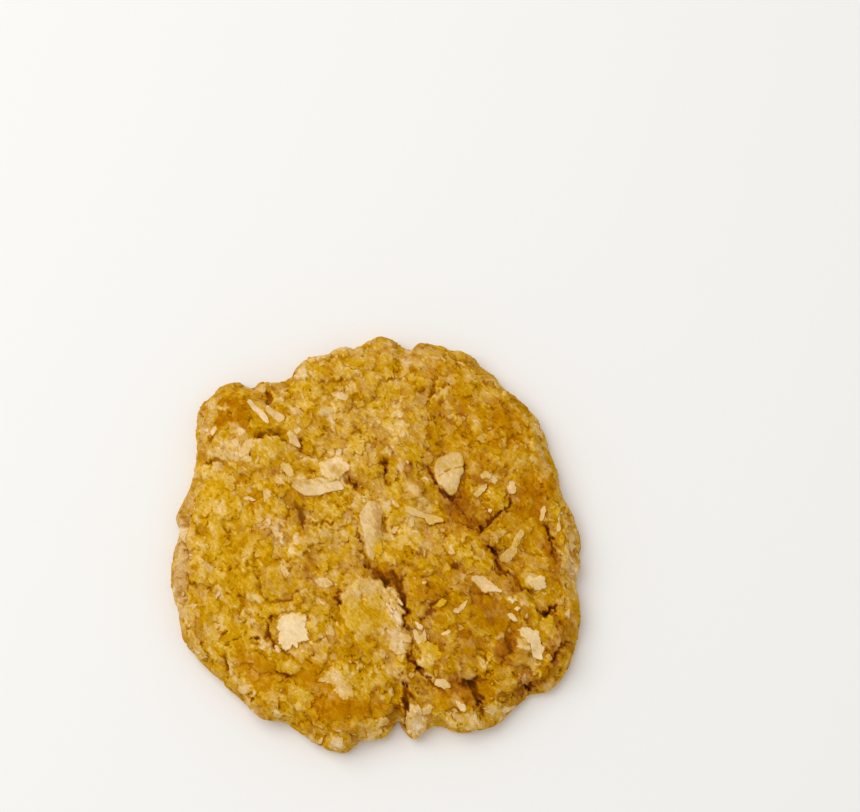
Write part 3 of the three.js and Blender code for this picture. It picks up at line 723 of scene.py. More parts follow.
SLIPS = tuple(Slip(*row) for row in (
    # far left, round the cave and the slivers
    ((215, 424), (211, 436), 1.1, 0.84, True), ((257, 387), (267, 394), 1.3, 0.73),
    ((222, 442), (227, 460), 1.3), ((241, 459), (253, 437), 1.9, 0.77, True),
    ((233, 438), (238, 448), 1.2, 0.8, True), ((218, 410), (227, 407), 1.2, 0.74),
    ((214, 455), (222, 446), 1.3, 0.76), ((231, 451), (234, 461), 1.2, 0.76, True),
    ((213, 464), (227, 470), 1.3, 0.74), ((278, 458), (294, 478), 1.7, 0.76, True),
    ((289, 431), (299, 448), 1.7, 0.78, True), ((294, 426), (301, 434), 1.4, 0.75),
    ((241, 497), (256, 500), 0.9, 0.8, True), ((300, 366), (306, 384), 2.4, 0.74),
    ((272, 470), (284, 484), 1.5, 0.68), ((231, 430), (247, 434), 1.3, 0.76),
    ((244, 453), (252, 463), 1.3, 0.79, True), ((254, 443), (264, 438), 0.8, 0.77),
    ((264, 438), (281, 437), 0.7, 0.77),
    # far side
    ((331, 392), (349, 400), 1.8, 0.78, True), ((349, 382), (356, 394), 1.2, 0.76),
    ((391, 417), (402, 412), 1.2, 0.8, True), ((399, 420), (402, 411), 1.1, 0.79, True),
    ((432, 357), (444, 360), 0.8, 0.75), ((458, 362), (464, 366), 1.1, 0.74),
    ((433, 400), (450, 389), 1.6, 0.68, False, 0.22, -0.5), ((330, 356), (350, 352), 1.4, 0.72),
    ((377, 374), (384, 377), 1.3, 0.73), ((393, 379), (398, 382), 1.2, 0.7),
    ((478, 441), (486, 437), 1.3, 0.73), ((419, 439), (426, 447), 1.5, 0.67),
    ((372, 344), (392, 347), 1.3, 0.68), ((350, 404), (358, 414), 1.2, 0.67),
    # middle
    ((382, 456), (389, 449), 1.7, 0.75), ((380, 479), (382, 490), 1.1, 0.67), ((351, 491), (366, 499), 1.5),
    ((383, 530), (393, 541), 1.6, 0.69), ((410, 528), (413, 518), 1.3, 0.77, True),
    ((449, 543), (454, 557), 1.3, 0.8, True), ((377, 542), (381, 556), 2, 0.72, True, 0.3, -1.2),
    ((406, 462), (410, 463), 0.8, 0.8, True), ((423, 478), (428, 481), 0.8, 0.77),
    ((268, 488), (266, 503), 1.7, 0.75, True), ((267, 518), (273, 526), 1, 0.79, True),
    ((271, 528), (283, 540), 1.1, 0.77), ((324, 538), (329, 526), 2, 0.7),
    ((437, 470), (441, 478), 0.6, 0.67), ((418, 505), (428, 498), 1.4, 0.67),
    # right of the slit oat
    ((479, 473), (491, 476), 1.9, 0.76, True), ((490, 473), (496, 485), 1.5, 0.79, True),
    ((487, 485), (474, 496), 1.4, 0.77, True), ((511, 479), (511, 495), 1.6, 0.79, True),
    ((543, 504), (541, 522), 0.9, 0.79, True), ((559, 511), (558, 533), 1, 0.8, True),
    ((488, 510), (492, 512), 0.7, 0.82, True), ((534, 447), (545, 458), 1.5, 0.7),
    ((484, 550), (480, 560), 1.1, 0.67),
    # right wall
    ((563, 512), (567, 532), 1.1, 0.69), ((570, 530), (574, 552), 1.2, 0.72),
    ((564, 545), (570, 568), 1.4, 0.7), ((573, 558), (576, 576), 1.2, 0.73),
    ((566, 552), (572, 562), 1.6, 0.8, True), ((562, 576), (565, 594), 1.2, 0.68),
    ((566, 611), (570, 618), 1.2, 0.77),
    # left and near left
    ((314, 579), (332, 585), 1.9, 0.78, True), ((278, 565), (289, 577), 1.6, 0.77, True),
    ((313, 600), (326, 602), 1.7), ((310, 615), (317, 623), 1.6, 0.7), ((326, 624), (335, 634), 1.8, 0.72),
    ((184, 609), (202, 604), 0.6, 0.74), ((261, 637), (265, 649), 1.4, 0.75),
    ((275, 646), (281, 653), 1.1, 0.79, True), ((286, 652), (301, 652), 1.4, 0.73),
    ((228, 650), (233, 678), 1.1, 0.74), ((244, 684), (256, 696), 1.3, 0.78),
    ((289, 606), (297, 611), 1.4, 0.68, False, 0.22, -0.5), ((196, 586), (206, 598), 1.8, 0.68),
    ((205, 560), (212, 574), 1.3, 0.66), ((352, 661), (361, 667), 0.9, 0.72),
    ((271, 708), (285, 715), 1.2, 0.74), ((300, 640), (310, 648), 1.2, 0.67),
    # along the main crack and near it
    ((396, 633), (412, 642), 1.5, 0.77, True), ((388, 642), (398, 650), 1.8, 0.79, True),
    ((394, 652), (406, 650), 1.4, 0.78, True), ((392, 604), (400, 626), 1.5, 0.78, True),
    ((382, 593), (393, 614), 0.8, 0.77, True), ((386, 592), (395, 611), 0.8, 0.76, True),
    ((396, 597), (403, 606), 0.7, 0.82, True), ((390, 586), (397, 599), 1.1, 0.76, True),
    ((378, 626), (385, 635), 1.1, 0.77), ((389, 628), (396, 637), 1.4, 0.76),
    ((381, 646), (385, 658), 1, 0.73), ((385, 662), (400, 678), 2.2, 0.7),
    ((401, 677), (407, 683), 1.2, 0.75), ((388, 688), (394, 695), 1.2, 0.74),
    ((415, 621), (423, 631), 0.8, 0.82, True), ((423, 629), (425, 643), 0.8, 0.77, True),
    ((414, 629), (420, 645), 1.3, 0.81, True), ((419, 632), (423, 641), 0.8, 0.75, True),
    ((423, 672), (434, 681), 1.2, 0.74), ((434, 681), (451, 687), 1.5, 0.8, True),
    ((422, 581), (427, 584), 0.8, 0.8, True), ((436, 607), (446, 599), 1.2, 0.72, True, 0.22, -1.2),
    ((441, 635), (452, 631), 0.8, 0.81, True), ((453, 614), (468, 601), 1.1, 0.76, True),
    ((375, 717), (388, 725), 2.2, 0.76, True), ((400, 716), (411, 731), 2.2, 0.75),
    ((421, 714), (433, 705), 1.7, 0.75, True), ((331, 737), (344, 745), 1.5, 0.79, True),
    ((329, 741), (336, 748), 1, 0.72),
    # near right
    ((456, 701), (466, 711), 1.2, 0.83, True), ((501, 710), (517, 705), 1.3, 0.79, True),
    ((486, 705), (494, 714), 1.5, 0.74), ((513, 607), (520, 611), 0.9, 0.86, True),
    ((508, 612), (516, 622), 1.1, 0.84, True), ((510, 604), (516, 596), 1.4, 0.77),
    ((521, 597), (529, 610), 1.6), ((516, 640), (529, 648), 2, 0.72), ((527, 658), (538, 667), 2.2, 0.72),
    ((460, 668), (474, 676), 1.4, 0.65), ((497, 640), (503, 632), 1.2, 0.67),
    ((539, 600), (545, 606), 1, 0.7),
))


# ---------------------------------------------------------------------------------------------
# The flat map of the skin's relief
# ---------------------------------------------------------------------------------------------


class FlatMap:
    """A square map of the skin pulled flat, on which reliefs and colours are worked out."""

    def __init__(self, half: float = 46.0, cell: float = 0.1, stretch: float = 1.2) -> None:
        """Lays out the map.

        Args:
            half: Half of its side in mm.
            cell: Distance between its places in mm.
            stretch: How much longer noise and clumps are along the lie, and narrower across it.
        """
        self.half, self.cell, self.stretch = half, cell, stretch
        self.count = int(round(2.0 * half / cell))
        axis = (np.arange(self.count) + 0.5) * cell - half
        self.u, self.v = np.meshgrid(axis, axis)
        waves = np.meshgrid(*(2 * [np.fft.fftfreq(self.count, d=cell)]))
        self.wave = np.hypot(*waves)
        along, across = turned(*waves, LIE)
        self.lying_wave = np.hypot(along * stretch, across / stretch)
        self.noises: dict[tuple[float, int], Array] = {}

    def blur(self, values: Array, spread: float) -> Array:
        """The values smoothed by a bell curve of that spread in mm, as a product with its transform."""
        bell = np.exp(-2.0 * (math.pi * spread * self.wave) ** 2)
        return np.real(np.fft.ifft2(np.fft.fft2(values) * bell))

    def noise(self, size: float, seed: int) -> Array:
        """Smooth noise of unit spread: seeded white noise, kept only round one size, worked out once.

        Args:
            size: The humps' size in mm.
            seed: Which noise.

        Returns:
            The noise over the whole map.
        """
        if (size, seed) not in self.noises:
            white = np.random.default_rng(seed).standard_normal((self.count, self.count))
            spread = HUMP_SPREAD * size
            bell = np.exp(-2.0 * (math.pi * spread * self.lying_wave) ** 2)
            hollow = 1.0 - np.exp(-2.0 * (math.pi * SLOW_SPREAD * spread * self.lying_wave) ** 2)
            values = np.real(np.fft.ifft2(np.fft.fft2(white) * bell * hollow))
            self.noises[size, seed] = values / values.std()
        return self.noises[size, seed]

    def cells(self, size: float, seed: int, warp: Warp) -> tuple[Array, Array, Array]:
        """Scattered points, one in each square, and the distances to the nearest two.

        Args:
            size: The squares' size in mm.
            seed: Which points.
            warp: Two maps that shift the places first, so that borders are ragged.

        Returns:
            The distance to the nearest point and to the next, in shares of the size, and a draw
            from 0 to 1 that belongs to the nearest point.
        """
        random = np.random.default_rng(seed)
        reach = 1.5 * self.stretch * self.half
        margin = 2  # squares
        squares = int(math.ceil(2.0 * reach / size)) + 2 * margin
        jitter_u, jitter_v, lot = random.random((3, squares, squares))
        along, across = turned(self.u + warp[0], self.v + warp[1], LIE)
        across = (across * self.stretch + reach) / size + margin
        along = (along / self.stretch + reach) / size + margin
        i, j = np.floor(across).astype(int), np.floor(along).astype(int)
        first, second = np.full((2, *across.shape), np.inf)
        owner = np.zeros(across.shape)
        for di, dj in np.ndindex(3, 3):
            a, b = np.clip(i + di - 1, 0, squares - 1), np.clip(j + dj - 1, 0, squares - 1)
            away = np.hypot(a + jitter_u[a, b] - across, b + jitter_v[a, b] - along)
            nearer = away < first
            second = np.where(nearer, first, np.minimum(second, away))
            owner = np.where(nearer, lot[a, b], owner)
            first = np.where(nearer, away, first)
        return first, second, owner

    def window(self, u: float, v: float, reach: float) -> Part:
        """The part of the map within that reach of a place, as its rows and columns."""
        low_u, high_u = (int((u + side * reach + self.half) / self.cell) for side in (-1, 1))
        low_v, high_v = (int((v + side * reach + self.half) / self.cell) for side in (-1, 1))
        return slice(max(0, low_v), max(1, high_v + 1)), slice(max(0, low_u), max(1, high_u + 1))

    def sample(self, values: Array, u: Array, v: Array) -> Array:
        """Reads a map at places between its own, by even shares of the four round each.

        Args:
            values: The map.
            u: Places across.
            v: Places along.

        Returns:
            The values there.
        """
        last = self.count - 1.001
        across = np.clip((u + self.half) / self.cell - 0.5, 0, last)
        along = np.clip((v + self.half) / self.cell - 0.5, 0, last)
        i, j = np.floor(across).astype(int), np.floor(along).astype(int)
        near = lerp(values[j, i], values[j, i + 1], across - i)
        far = lerp(values[j + 1, i], values[j + 1, i + 1], across - i)
        return lerp(near, far, along - j)


def path_distance(u: Array, v: Array, path: Array) -> tuple[Array, Array]:
    """Distance to a path of straight stretches, and how far along it the nearest place lies.

    Args:
        u: Places across.
        v: Places along.
        path: The path's places, one row each.

    Returns:
        The distance, and the share of the way along the path from 0 to 1.
    """
    least, share = np.full(u.shape, np.inf), np.zeros(u.shape)
    for index, (start, end) in enumerate(zip(path[:-1], path[1:])):
        run = end - start
        along = np.clip(((u - start[0]) * run[0] + (v - start[1]) * run[1]) / max(1e-9, run @ run), 0.0, 1.0)
        away = np.hypot(u - start[0] - along * run[0], v - start[1] - along * run[1])
        nearer = away < least
        least = np.where(nearer, away, least)
        share = np.where(nearer, (index + along) / (len(path) - 1), share)
    return least, share


def skin_net(form: BakedForm, rings: int) -> tuple[Array, Array]:
    """An even net over the map: a middle point, then rings of 6, 12, 18 and so on.

    Args:
        form: The cookie's large form, whose reach the last ring has.
        rings: How many rings.

    Returns:
        Map places, one row each, and triangles as rows of three indices.
    """
    ring = np.repeat(np.arange(1, rings + 1), 6 * np.arange(1, rings + 1))
    starts = 1 + 3 * np.arange(0, rings + 1) * np.arange(1, rings + 2)
    index = np.arange(len(ring)) + 1 - starts[ring - 1]
    bearing = TURN * index / (6.0 * ring)
    distance = ring / rings * form.reach(bearing)
    places = np.stack([distance * np.cos(bearing), distance * np.sin(bearing)], axis=1)
    places = np.concatenate([np.zeros((1, 2)), places])
    faces = []
    for k in range(rings):
        sector, step = [grid.ravel() for grid in np.meshgrid(np.arange(6), np.arange(k + 1), indexing="ij")]
        inner_count, outer_count = max(1, 6 * k), 6 * (k + 1)
        inner_start = 0 if k == 0 else starts[k - 1]
        i, o = sector * k + step, sector * (k + 1) + step
        inner, inner_next = inner_start + i % inner_count, inner_start + (i + 1) % inner_count
        outer, outer_next = starts[k] + o % outer_count, starts[k] + (o + 1) % outer_count
        faces.append(np.stack([inner, outer, outer_next], axis=1))
        faces.append(np.stack([inner, outer_next, inner_next], axis=1)[step < k])
    return places, np.concatenate(faces)


class Seats:
    """Finds where a pixel of the photograph falls on the cookie, as a place on the flat map."""

    def __init__(self, form: BakedForm, view: PhotoView, rings: int = 60) -> None:
        """Lays a coarse copy of the skin, to cast the camera's rays at.

        Args:
            form: The cookie's large form.
            view: The photograph's camera.
            rings: How many rings the copy has.
        """
        self.view = view
        self.low = form.widest_height
        self.origin = Vector(view.place())
        self.map_places, self.faces = skin_net(form, rings)
        self.points = form.skin(self.map_places[:, 0], self.map_places[:, 1])
        self.tree = BVHTree.FromPolygons(self.points.tolist(), self.faces.tolist())

    def seat(self, pixel: Place) -> Place:
        """The map place under a pixel, or under the nearest part of the skin where it misses."""
        direction = self.view.ray(pixel)
        hit, _, face, _ = self.tree.ray_cast(self.origin, direction)
        if hit is None:
            lowest = self.origin + direction * ((self.low - self.origin.z) / direction.z)
            hit, _, face, _ = self.tree.find_nearest(lowest)
        corners = self.faces[face]
        weights = poly_3d_calc([Vector(self.points[c]) for c in corners], hit)
        place = np.array(weights) @ self.map_places[corners]
        return float(place[0]), float(place[1])

    def seats(self, pixels: Pixels) -> Array:
        """The map places under several pixels, one row each."""
        return np.array([self.seat(pixel) for pixel in pixels])


# ---------------------------------------------------------------------------------------------
# Finishes
# ---------------------------------------------------------------------------------------------


def to_linear(colour: str) -> tuple[float, float, float, float]:
    """An sRGB hex colour as the linear values that Blender works in."""
    parts = [int(colour[i : i + 2], 16) / 255.0 for i in (1, 3, 5)]
    linear = [c / 12.92 if c <= 0.04045 else ((c + 0.055) / 1.055) ** 2.4 for c in parts]
    return linear[0], linear[1], linear[2], 1.0


def add_node(
    tree: bpy.types.NodeTree, kind: str, settings: dict | None = None, **links: object,
) -> bpy.types.Node:
    """Adds a node with its settings, and sets or links its inputs.

    Args:
        tree: The material's node tree.
        kind: The node's type, without the words that all types start with.
        settings: Its own properties by name.
        **links: Its inputs by name, with _ for a space, or by place as i0, i1: a value, or a node or
            its output socket to link from. Of a node it is the first output.

    Returns:
        The node.
    """
    node = tree.nodes.new("ShaderNode" + kind)
    for name, value in (settings or {}).items():
        setattr(node, name, value)
    for name, value in links.items():
        socket = node.inputs[int(name[1:]) if name[1:].isdigit() else name.replace("_", " ")]
        if isinstance(value, bpy.types.Node):
            value = value.outputs[0]
        if isinstance(value, bpy.types.NodeSocket):
            tree.links.new(value, socket)
        else:
            socket.default_value = value
    return node


@dataclass(frozen=True)
class BakedFinish:
    """A baked surface, whose colour follows its lightness along two scales, golden and dry.

    The mesh gives each point's lightness as "shade", its place between golden and dry as "dry", and
    as "toast" how far it turns orange, above 0, or yellow, below. Fine mottling is added to them.
    """

    name: str
    golden: Scale = (
        (0.1, "#331200"), (0.2, "#532300"), (0.3, "#723700"), (0.4, "#8E4F00"), (0.5, "#A76A00"),
        (0.6, "#BE8700"), (0.66, "#CC990F"), (0.72, "#D8AB39"), (0.8, "#E6BF70"), (0.92, "#FADAA6"),
    )
    dried: Scale = (
        (0.1, "#31130C"), (0.2, "#512313"), (0.3, "#703817"), (0.4, "#8C4F1E"), (0.5, "#A36B2D"),
        (0.6, "#BB8741"), (0.66, "#C69A54"), (0.72, "#D2AA6A"), (0.8, "#E1C08B"), (0.92, "#F7DBB2"),
    )
    orange: str = "#B87000"
    yellow: str = "#DBA800"
    tint: float = 0.55  # how much of the orange or yellow shows at the most
    mottle: float = 0.05  # how far the mottling moves the lightness
    mottle_size: float = 1.3  # mm
    dapple: float = 0.25  # how far it moves the dryness
    grain: float = 0.06
    grain_size: float = 0.26  # mm
    streak: float = 2.6  # how much longer the grain is than wide
    streak_turn: float = 48.0  # degrees that the grain turns down to the right
    fleck: float = 0.07  # how much lighter a fleck is: a pale speck of oat, and also a painted highlight in place of the butter's small glints
    fleck_size: float = 1.3  # mm between flecks
    fleck_edge: Span = (0.26, 0.06)  # where a fleck starts and is full, in that distance
    bump: float = 0.05  # mm
    bump_size: float = 0.45  # mm
    roughness: float = 0.6
    uneven: float = 0.1  # how far the roughness strays
    specular: float = 0.01

    def material(self) -> bpy.types.Material:
        """Makes the material.

        Returns:
            The new material.
        """
        material = bpy.data.materials.new(self.name)
        material.use_nodes = True
        tree = material.node_tree
        tree.nodes.clear()
        low, high = NOISE_SPAN
        place = add_node(tree, "TexCoord").outputs["Object"]
        lying = add_node(
            tree, "Mapping", {"vector_type": "TEXTURE"}, Vector=place,
            Rotation=(0.0, 0.0, math.radians(-self.streak_turn)), Scale=(self.streak, 1.0, 1.0),
        )
        lightness, dryness, toast = (
            add_node(tree, "Attribute", {"attribute_name": name}).outputs["Fac"] for name in TONES
        )
        spreads = []
        for vector, size, most in (
            (lying, self.mottle_size, self.mottle), (lying, self.grain_size, self.grain),
            (place, self.mottle_size, self.dapple),
        ):
            noise = add_node(
                tree, "TexNoise", Vector=vector, Scale=1.0 / (size * MM), Detail=2.0, Roughness=0.55,
            )
            spreads.append(add_node(
                tree, "MapRange", {"clamp": False}, Value=noise, From_Min=low, From_Max=high, To_Min=-most,
                To_Max=most,
            ))
        flecks = add_node(
            tree, "TexVoronoi", Vector=lying, Scale=1.0 / (self.fleck_size * MM), Randomness=1.0,
        )
        fleck = add_node(
            tree, "MapRange", {"interpolation_type": "SMOOTHSTEP"}, Value=flecks,
            From_Min=self.fleck_edge[0], From_Max=self.fleck_edge[1], To_Min=0.0, To_Max=self.fleck,
        )
        for part in (spreads[0], spreads[1], fleck):
            lightness = add_node(tree, "Math", {"operation": "ADD"}, i0=lightness, i1=part)
        dryness = add_node(tree, "Math", {"operation": "ADD", "use_clamp": True}, i0=dryness, i1=spreads[2])
        colours = []
        for stops in (self.golden, self.dried):
            ramp = add_node(tree, "ValToRGB", Fac=lightness)
            elements = ramp.color_ramp.elements
            while len(elements) < len(stops):
                elements.new(0.5)
            for element, (position, stop) in zip(elements, stops):
                element.position = position
                element.color = to_linear(stop)
            colours.append(ramp)
        blend = {"data_type": "RGBA"}
        colour = add_node(tree, "Mix", blend, Factor=dryness, i6=colours[0], i7=colours[1]).outputs[2]
        for end, tone in ((1.0, self.orange), (-1.0, self.yellow)):
            share = add_node(
                tree, "MapRange", Value=toast, From_Min=0.0, From_Max=end, To_Min=0.0, To_Max=self.tint,
            )
            colour = add_node(tree, "Mix", blend, Factor=share, i6=colour, i7=to_linear(tone)).outputs[2]
        relief = add_node(
            tree, "TexNoise", Vector=place, Scale=1.0 / (self.bump_size * MM), Detail=2.0, Roughness=0.5,
        )
        bump = add_node(tree, "Bump", Strength=1.0, Distance=self.bump * MM, Height=relief)
        gloss = add_node(
            tree, "MapRange", Value=relief, From_Min=low, From_Max=high,
            To_Min=self.roughness + self.uneven, To_Max=self.roughness - self.uneven,
        )
        surface = add_node(
            tree, "BsdfPrincipled", Base_Color=colour, Roughness=gloss, Normal=bump,
            Specular_IOR_Level=self.specular,
        )
        add_node(tree, "OutputMaterial", Surface=surface)
        return material


# Baked oat dough: butter and sugar brown it from golden to amber, and dry flour shows as pale mottling.
BAKED_DOUGH = BakedFinish("baked oat dough, golden")

# Rolled oat: steamed and pressed flat, so pale and matt with faint fibres, and golden where butter soaked in.
ROLLED_OAT = BakedFinish("rolled oat, baked", mottle=0.025, grain=0.035, fleck=0.0, bump=0.03, roughness=0.55)

# Cashew: dense, smooth and buttery, so the palest thing in the cookie, with a soft gloss.
CASHEW = BakedFinish(
    "cashew, baked", mottle=0.025, grain=0.03, fleck=0.0, bump=0.025, roughness=0.5,
    dried=(
        (0.1, "#3A1E10"), (0.3, "#744420"), (0.5, "#AC7A3C"), (0.66, "#CFA662"), (0.8, "#E8CB96"),
        (0.92, "#FBE6C0"),
    ),
)


# ---------------------------------------------------------------------------------------------
# Pieces
# ---------------------------------------------------------------------------------------------


@dataclass
class Net:
    """A closed mesh in the making: places in mm, triangles, and each point's shade, dry and toast."""

    points: Array
    faces: Array
    tones: Array  # one row for each name in TONES

    @classmethod
    def joined(cls, nets: list["Net"]) -> "Net":
        """Several nets as one."""
        starts = np.concatenate([[0], np.cumsum([len(net.points) for net in nets])[:-1]])
        return cls(
            np.concatenate([net.points for net in nets]),
            np.concatenate([net.faces + start for net, start in zip(nets, starts)]),
            np.concatenate([net.tones for net in nets], axis=1),
        )

    def make(self, role: Role, material: bpy.types.Material) -> bpy.types.Object:
        """Puts the mesh into the scene at the origin, riding on the cookie's body.

        Args:
            role: What it is.
            material: Its finish.

        Returns:
            The new object.
        """
        mesh = bpy.data.meshes.new(role.value)
        mesh.from_pydata((self.points * MM).tolist(), [], self.faces.tolist())
        for name, values in zip(TONES, self.tones):
            attribute = mesh.attributes.new(name, "FLOAT", "POINT")
            attribute.data.foreach_set("value", np.ascontiguousarray(values, dtype=np.float32))
        mesh.polygons.foreach_set("use_smooth", np.ones(len(self.faces), dtype=bool))
        mesh.materials.append(material)
        mesh.update()
        piece = bpy.data.objects.new(role.value, mesh)
        bpy.context.scene.collection.objects.link(piece)
        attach(piece, BODY)
        LOG.info("%s: %d points, %d triangles", role.value, len(self.points), len(self.faces))
        return piece


def inside(
    outline: Array, middle: Array, u: Array, v: Array,
) -> tuple[Array, Array]:
    """How far inside an outline places lie, along the line from its middle.

    Args:
        outline: Places round it.
        middle: Its middle.
        u: Places across.
        v: Places along.

    Returns:
        The distance to the edge in mm, below 0 outside, and the share of the way out to the edge.
    """
    bearings = np.arctan2(outline[:, 1] - middle[1], outline[:, 0] - middle[0])
    radii = np.linalg.norm(outline - middle, axis=1)
    edge = around_turn(bearings, radii, np.arctan2(v - middle[1], u - middle[0]))
    away = np.hypot(u - middle[0], v - middle[1])
    return edge - away, away / edge


@dataclass
class Dough:
    """The baked dough: its relief and colours on the flat map, and its closed skin.

    Of two numbers in brackets the first is the least and the second the most, where not said otherwise.
    """

    form: BakedForm
    seats: Seats
    flat: FlatMap
    rings: int = 172
    under_rings: int = 5
    tone: float = 0.665  # mean lightness
    dryness: float = 0.16
    ragged_sizes: Span = (1.2, 0.6)  # mm, of the two noises that make every edge ragged
    ragged_reach: Span = (0.22, 0.09)  # mm, how far each of them moves an edge
    # each noise's height, its size in mm and its seed
    dry_noises: Noises = ((0.08, 7.0, 7), (0.14, 2.2, 8))
    toast_noises: Noises = ((0.14, 9.0, 5), (0.08, 3.0, 6))
    shade_noises: Noises = ((0.012, 6.0, 9), (0.02, 2.4, 10))
    grit: tuple[float, float, int] = (0.012, 0.45, 44)
    plates: int = 620
    plate_length: Span = (2.6, 7.0)  # mm
    plate_slimness: Span = (0.45, 0.85)
    plate_slope: float = 0.045
    plate_level: float = 0.24  # mm between the lowest and the highest plate
    plate_drop: float = 0.4  # mm from the lowest plate down to the ground between plates
    plate_edge: float = 0.22  # mm
    plate_shade: float = 0.024
    plate_dry: float = 0.1
    # each size of clump in mm, its dome's height in mm, its change of lightness, half of which also darkens
    # its border as painted shade, and its seed
    clumps: tuple[tuple[float, float, float, int], ...] = (
        (3.4, 0.16, 0.02, 41), (1.8, 0.1, 0.024, 42), (0.95, 0.05, 0.022, 43),
    )
    # the clumps' size in mm, the cracks' depth in mm, their half width as a share of the size, above which
    # value of a noise they open, and their seed
    fissures: tuple[tuple[float, float, float, float, int], ...] = (
        (4.6, 0.36, 0.036, 0.1, 31), (2.4, 0.2, 0.05, 0.5, 32),
    )
    # painted shade in the cracks between clumps
    fissure_painted_shade: float = 0.13
    clump_reach: float = 0.85  # as a share of its size
    clump_border: float = 0.12  # the same, for the border between clumps, darkened as painted shade
    clump_swell: Span = (0.4, 1.2)  # share of its height that it has at least, and more by its draw
    clump_dry: float = 2.5  # change of dryness for each step of lightness
    relief_blur: float = 0.09  # mm
    ground_blur: float = 0.55  # mm
    patch_ragged: float = 1.6  # how far a patch's edge follows the ragged maps
    patch_toast: Span = (0.55, 0.9)  # share of its toast that it has at least, and more in places
    chips: int = 1500
    chip_length: Span = (0.45, 3.2)  # mm
    chip_slimness: Span = (0.35, 0.9)
    chip_paler: Span = (-0.03, 0.14)
    chip_rise: Span = (0.02, 0.1)  # mm
    chip_slope: float = 0.06
    chip_sides: int = 5
    chip_edge: float = 0.16  # mm
    chip_small: float = 2.4  # the power by which small chips are more common than large ones
    chip_soaked: float = 1.4  # and soaked ones than pale ones
    chip_drier: float = 3.0  # how much drier for each step of lightness
    chip_cover: Span = (0.8, 0.85)  # how much of the dough's height and colour it takes the place of
    bed_relief: float = 0.35  # how much of the dough's own relief a flake in it keeps
    bed_fibre: float = 0.012  # how far its fibres change its lightness
    bed_soak: Span = (0.07, 0.8)  # how much darker, and less dry, it is where it is soaked
    slit_depth: float = 0.15  # mm
    slit_shade: float = 0.2
    crack_depth: float = 0.42  # mm for each mm of a crevice's own depth
    # painted shade in the cracks
    crack_painted_shade: float = 0.22
    groove_depth: float = 0.14  # mm for each mm of it, in the wide groove round the crack
    # painted shade in the wide groove round a crack
    groove_painted_shade: float = 0.05
    groove_width: float = 2.2  # times the crack's width
    crack_ragged: float = 0.8
    crack_swell: float = 0.35  # how much wider it is in places
    crack_end: float = 0.55  # share of its width that it keeps at its ends
    pit_depth: float = 0.6
    # painted shade in the pits
    pit_painted_shade: float = 0.18
    pocket_depth: float = 0.25  # mm
    # painted shade in hollows and painted light on humps: over how many mm a hollow is told from what is
    # round it, shade for each mm of it, the least and most
    painted_hollow_shading: tuple[tuple[float, float, float, float], ...] = (
        (0.9, 0.14, -0.04, 0.12), (0.3, 0.3, -0.06, 0.1),
    )
    edge_fade: Span = (0.45, 0.55)  # how much of the relief is lost on the side, and underneath
    edge_fade_run: float = 3.0  # mm over which it is lost on the side
    under_darker: float = 0.06
    under_toast: float = 0.6
    ragged: Warp = field(init=False)
    relief: Array = field(init=False)  # mm
    shade: Array = field(init=False)
    dry: Array = field(init=False)
    toast: Array = field(init=False)
    ground: Array = field(init=False)  # the relief smoothed
    taken: Array = field(init=False)  # 1 where no scattered flake may lie
    stains_and_shade: list[Array] = field(init=False)  # lightness, dryness and toast added over all: stains, and painted shade by the crescent and the upright oat

    def __post_init__(self) -> None:
        """Works out the maps of the dough: plates, clumps, fissures, patches and chips, in that order."""
        flat = self.flat
        (wide, fine), (far, near) = self.ragged_sizes, self.ragged_reach
        self.ragged = tuple(
            far * flat.noise(wide, seed) + near * flat.noise(fine, seed + 2) for seed in (1, 2)
        )
        self.relief = np.zeros(flat.u.shape)
        self.taken = np.zeros(flat.u.shape)
        self.shade = np.full(flat.u.shape, self.tone) + self.summed(self.shade_noises)
        self.dry = self.dryness + self.summed(self.dry_noises)
        self.toast = self.summed(self.toast_noises)
        self.lay_plates(21)
        self.relief = flat.blur(self.relief, self.relief_blur)
        self.relief -= self.relief.mean()
        self.add_clumps()
        for size, depth, width, share, seed in self.fissures:
            self.open_fissures(size, depth, width, share, seed)
        self.lay_patches()
        self.lay_chips(71)
        self.ground = flat.blur(self.relief, self.ground_blur)

    def summed(self, noises: Noises) -> Array:
        """The sum of several noises over the map."""
        return sum(height * self.flat.noise(size, seed) for height, size, seed in noises)

    def local(self, part: Part, u: float, v: float, ragged: float) -> tuple[Array, Array]:
        """Places on a part of the map, measured from one place, and moved so that edges are ragged.

        Args:
            part: Which part of the map.
            u: The place to measure from, across.
            v: The same, along.
            ragged: How far they are moved, as a share of the two ragged maps.

        Returns:
            The places across and along.
        """
        return (
            self.flat.u[part] + ragged * self.ragged[0][part] - u,
            self.flat.v[part] + ragged * self.ragged[1][part] - v,
        )

    def around(self, outline: Array, margin: float) -> tuple[Array, Part]:
        """A flake's middle, and the part of the map that holds it and a margin in mm round it."""
        middle = outline.mean(axis=0)
        reach = float(np.linalg.norm(outline - middle, axis=1).max())
        return middle, self.flat.window(middle[0], middle[1], reach + margin)

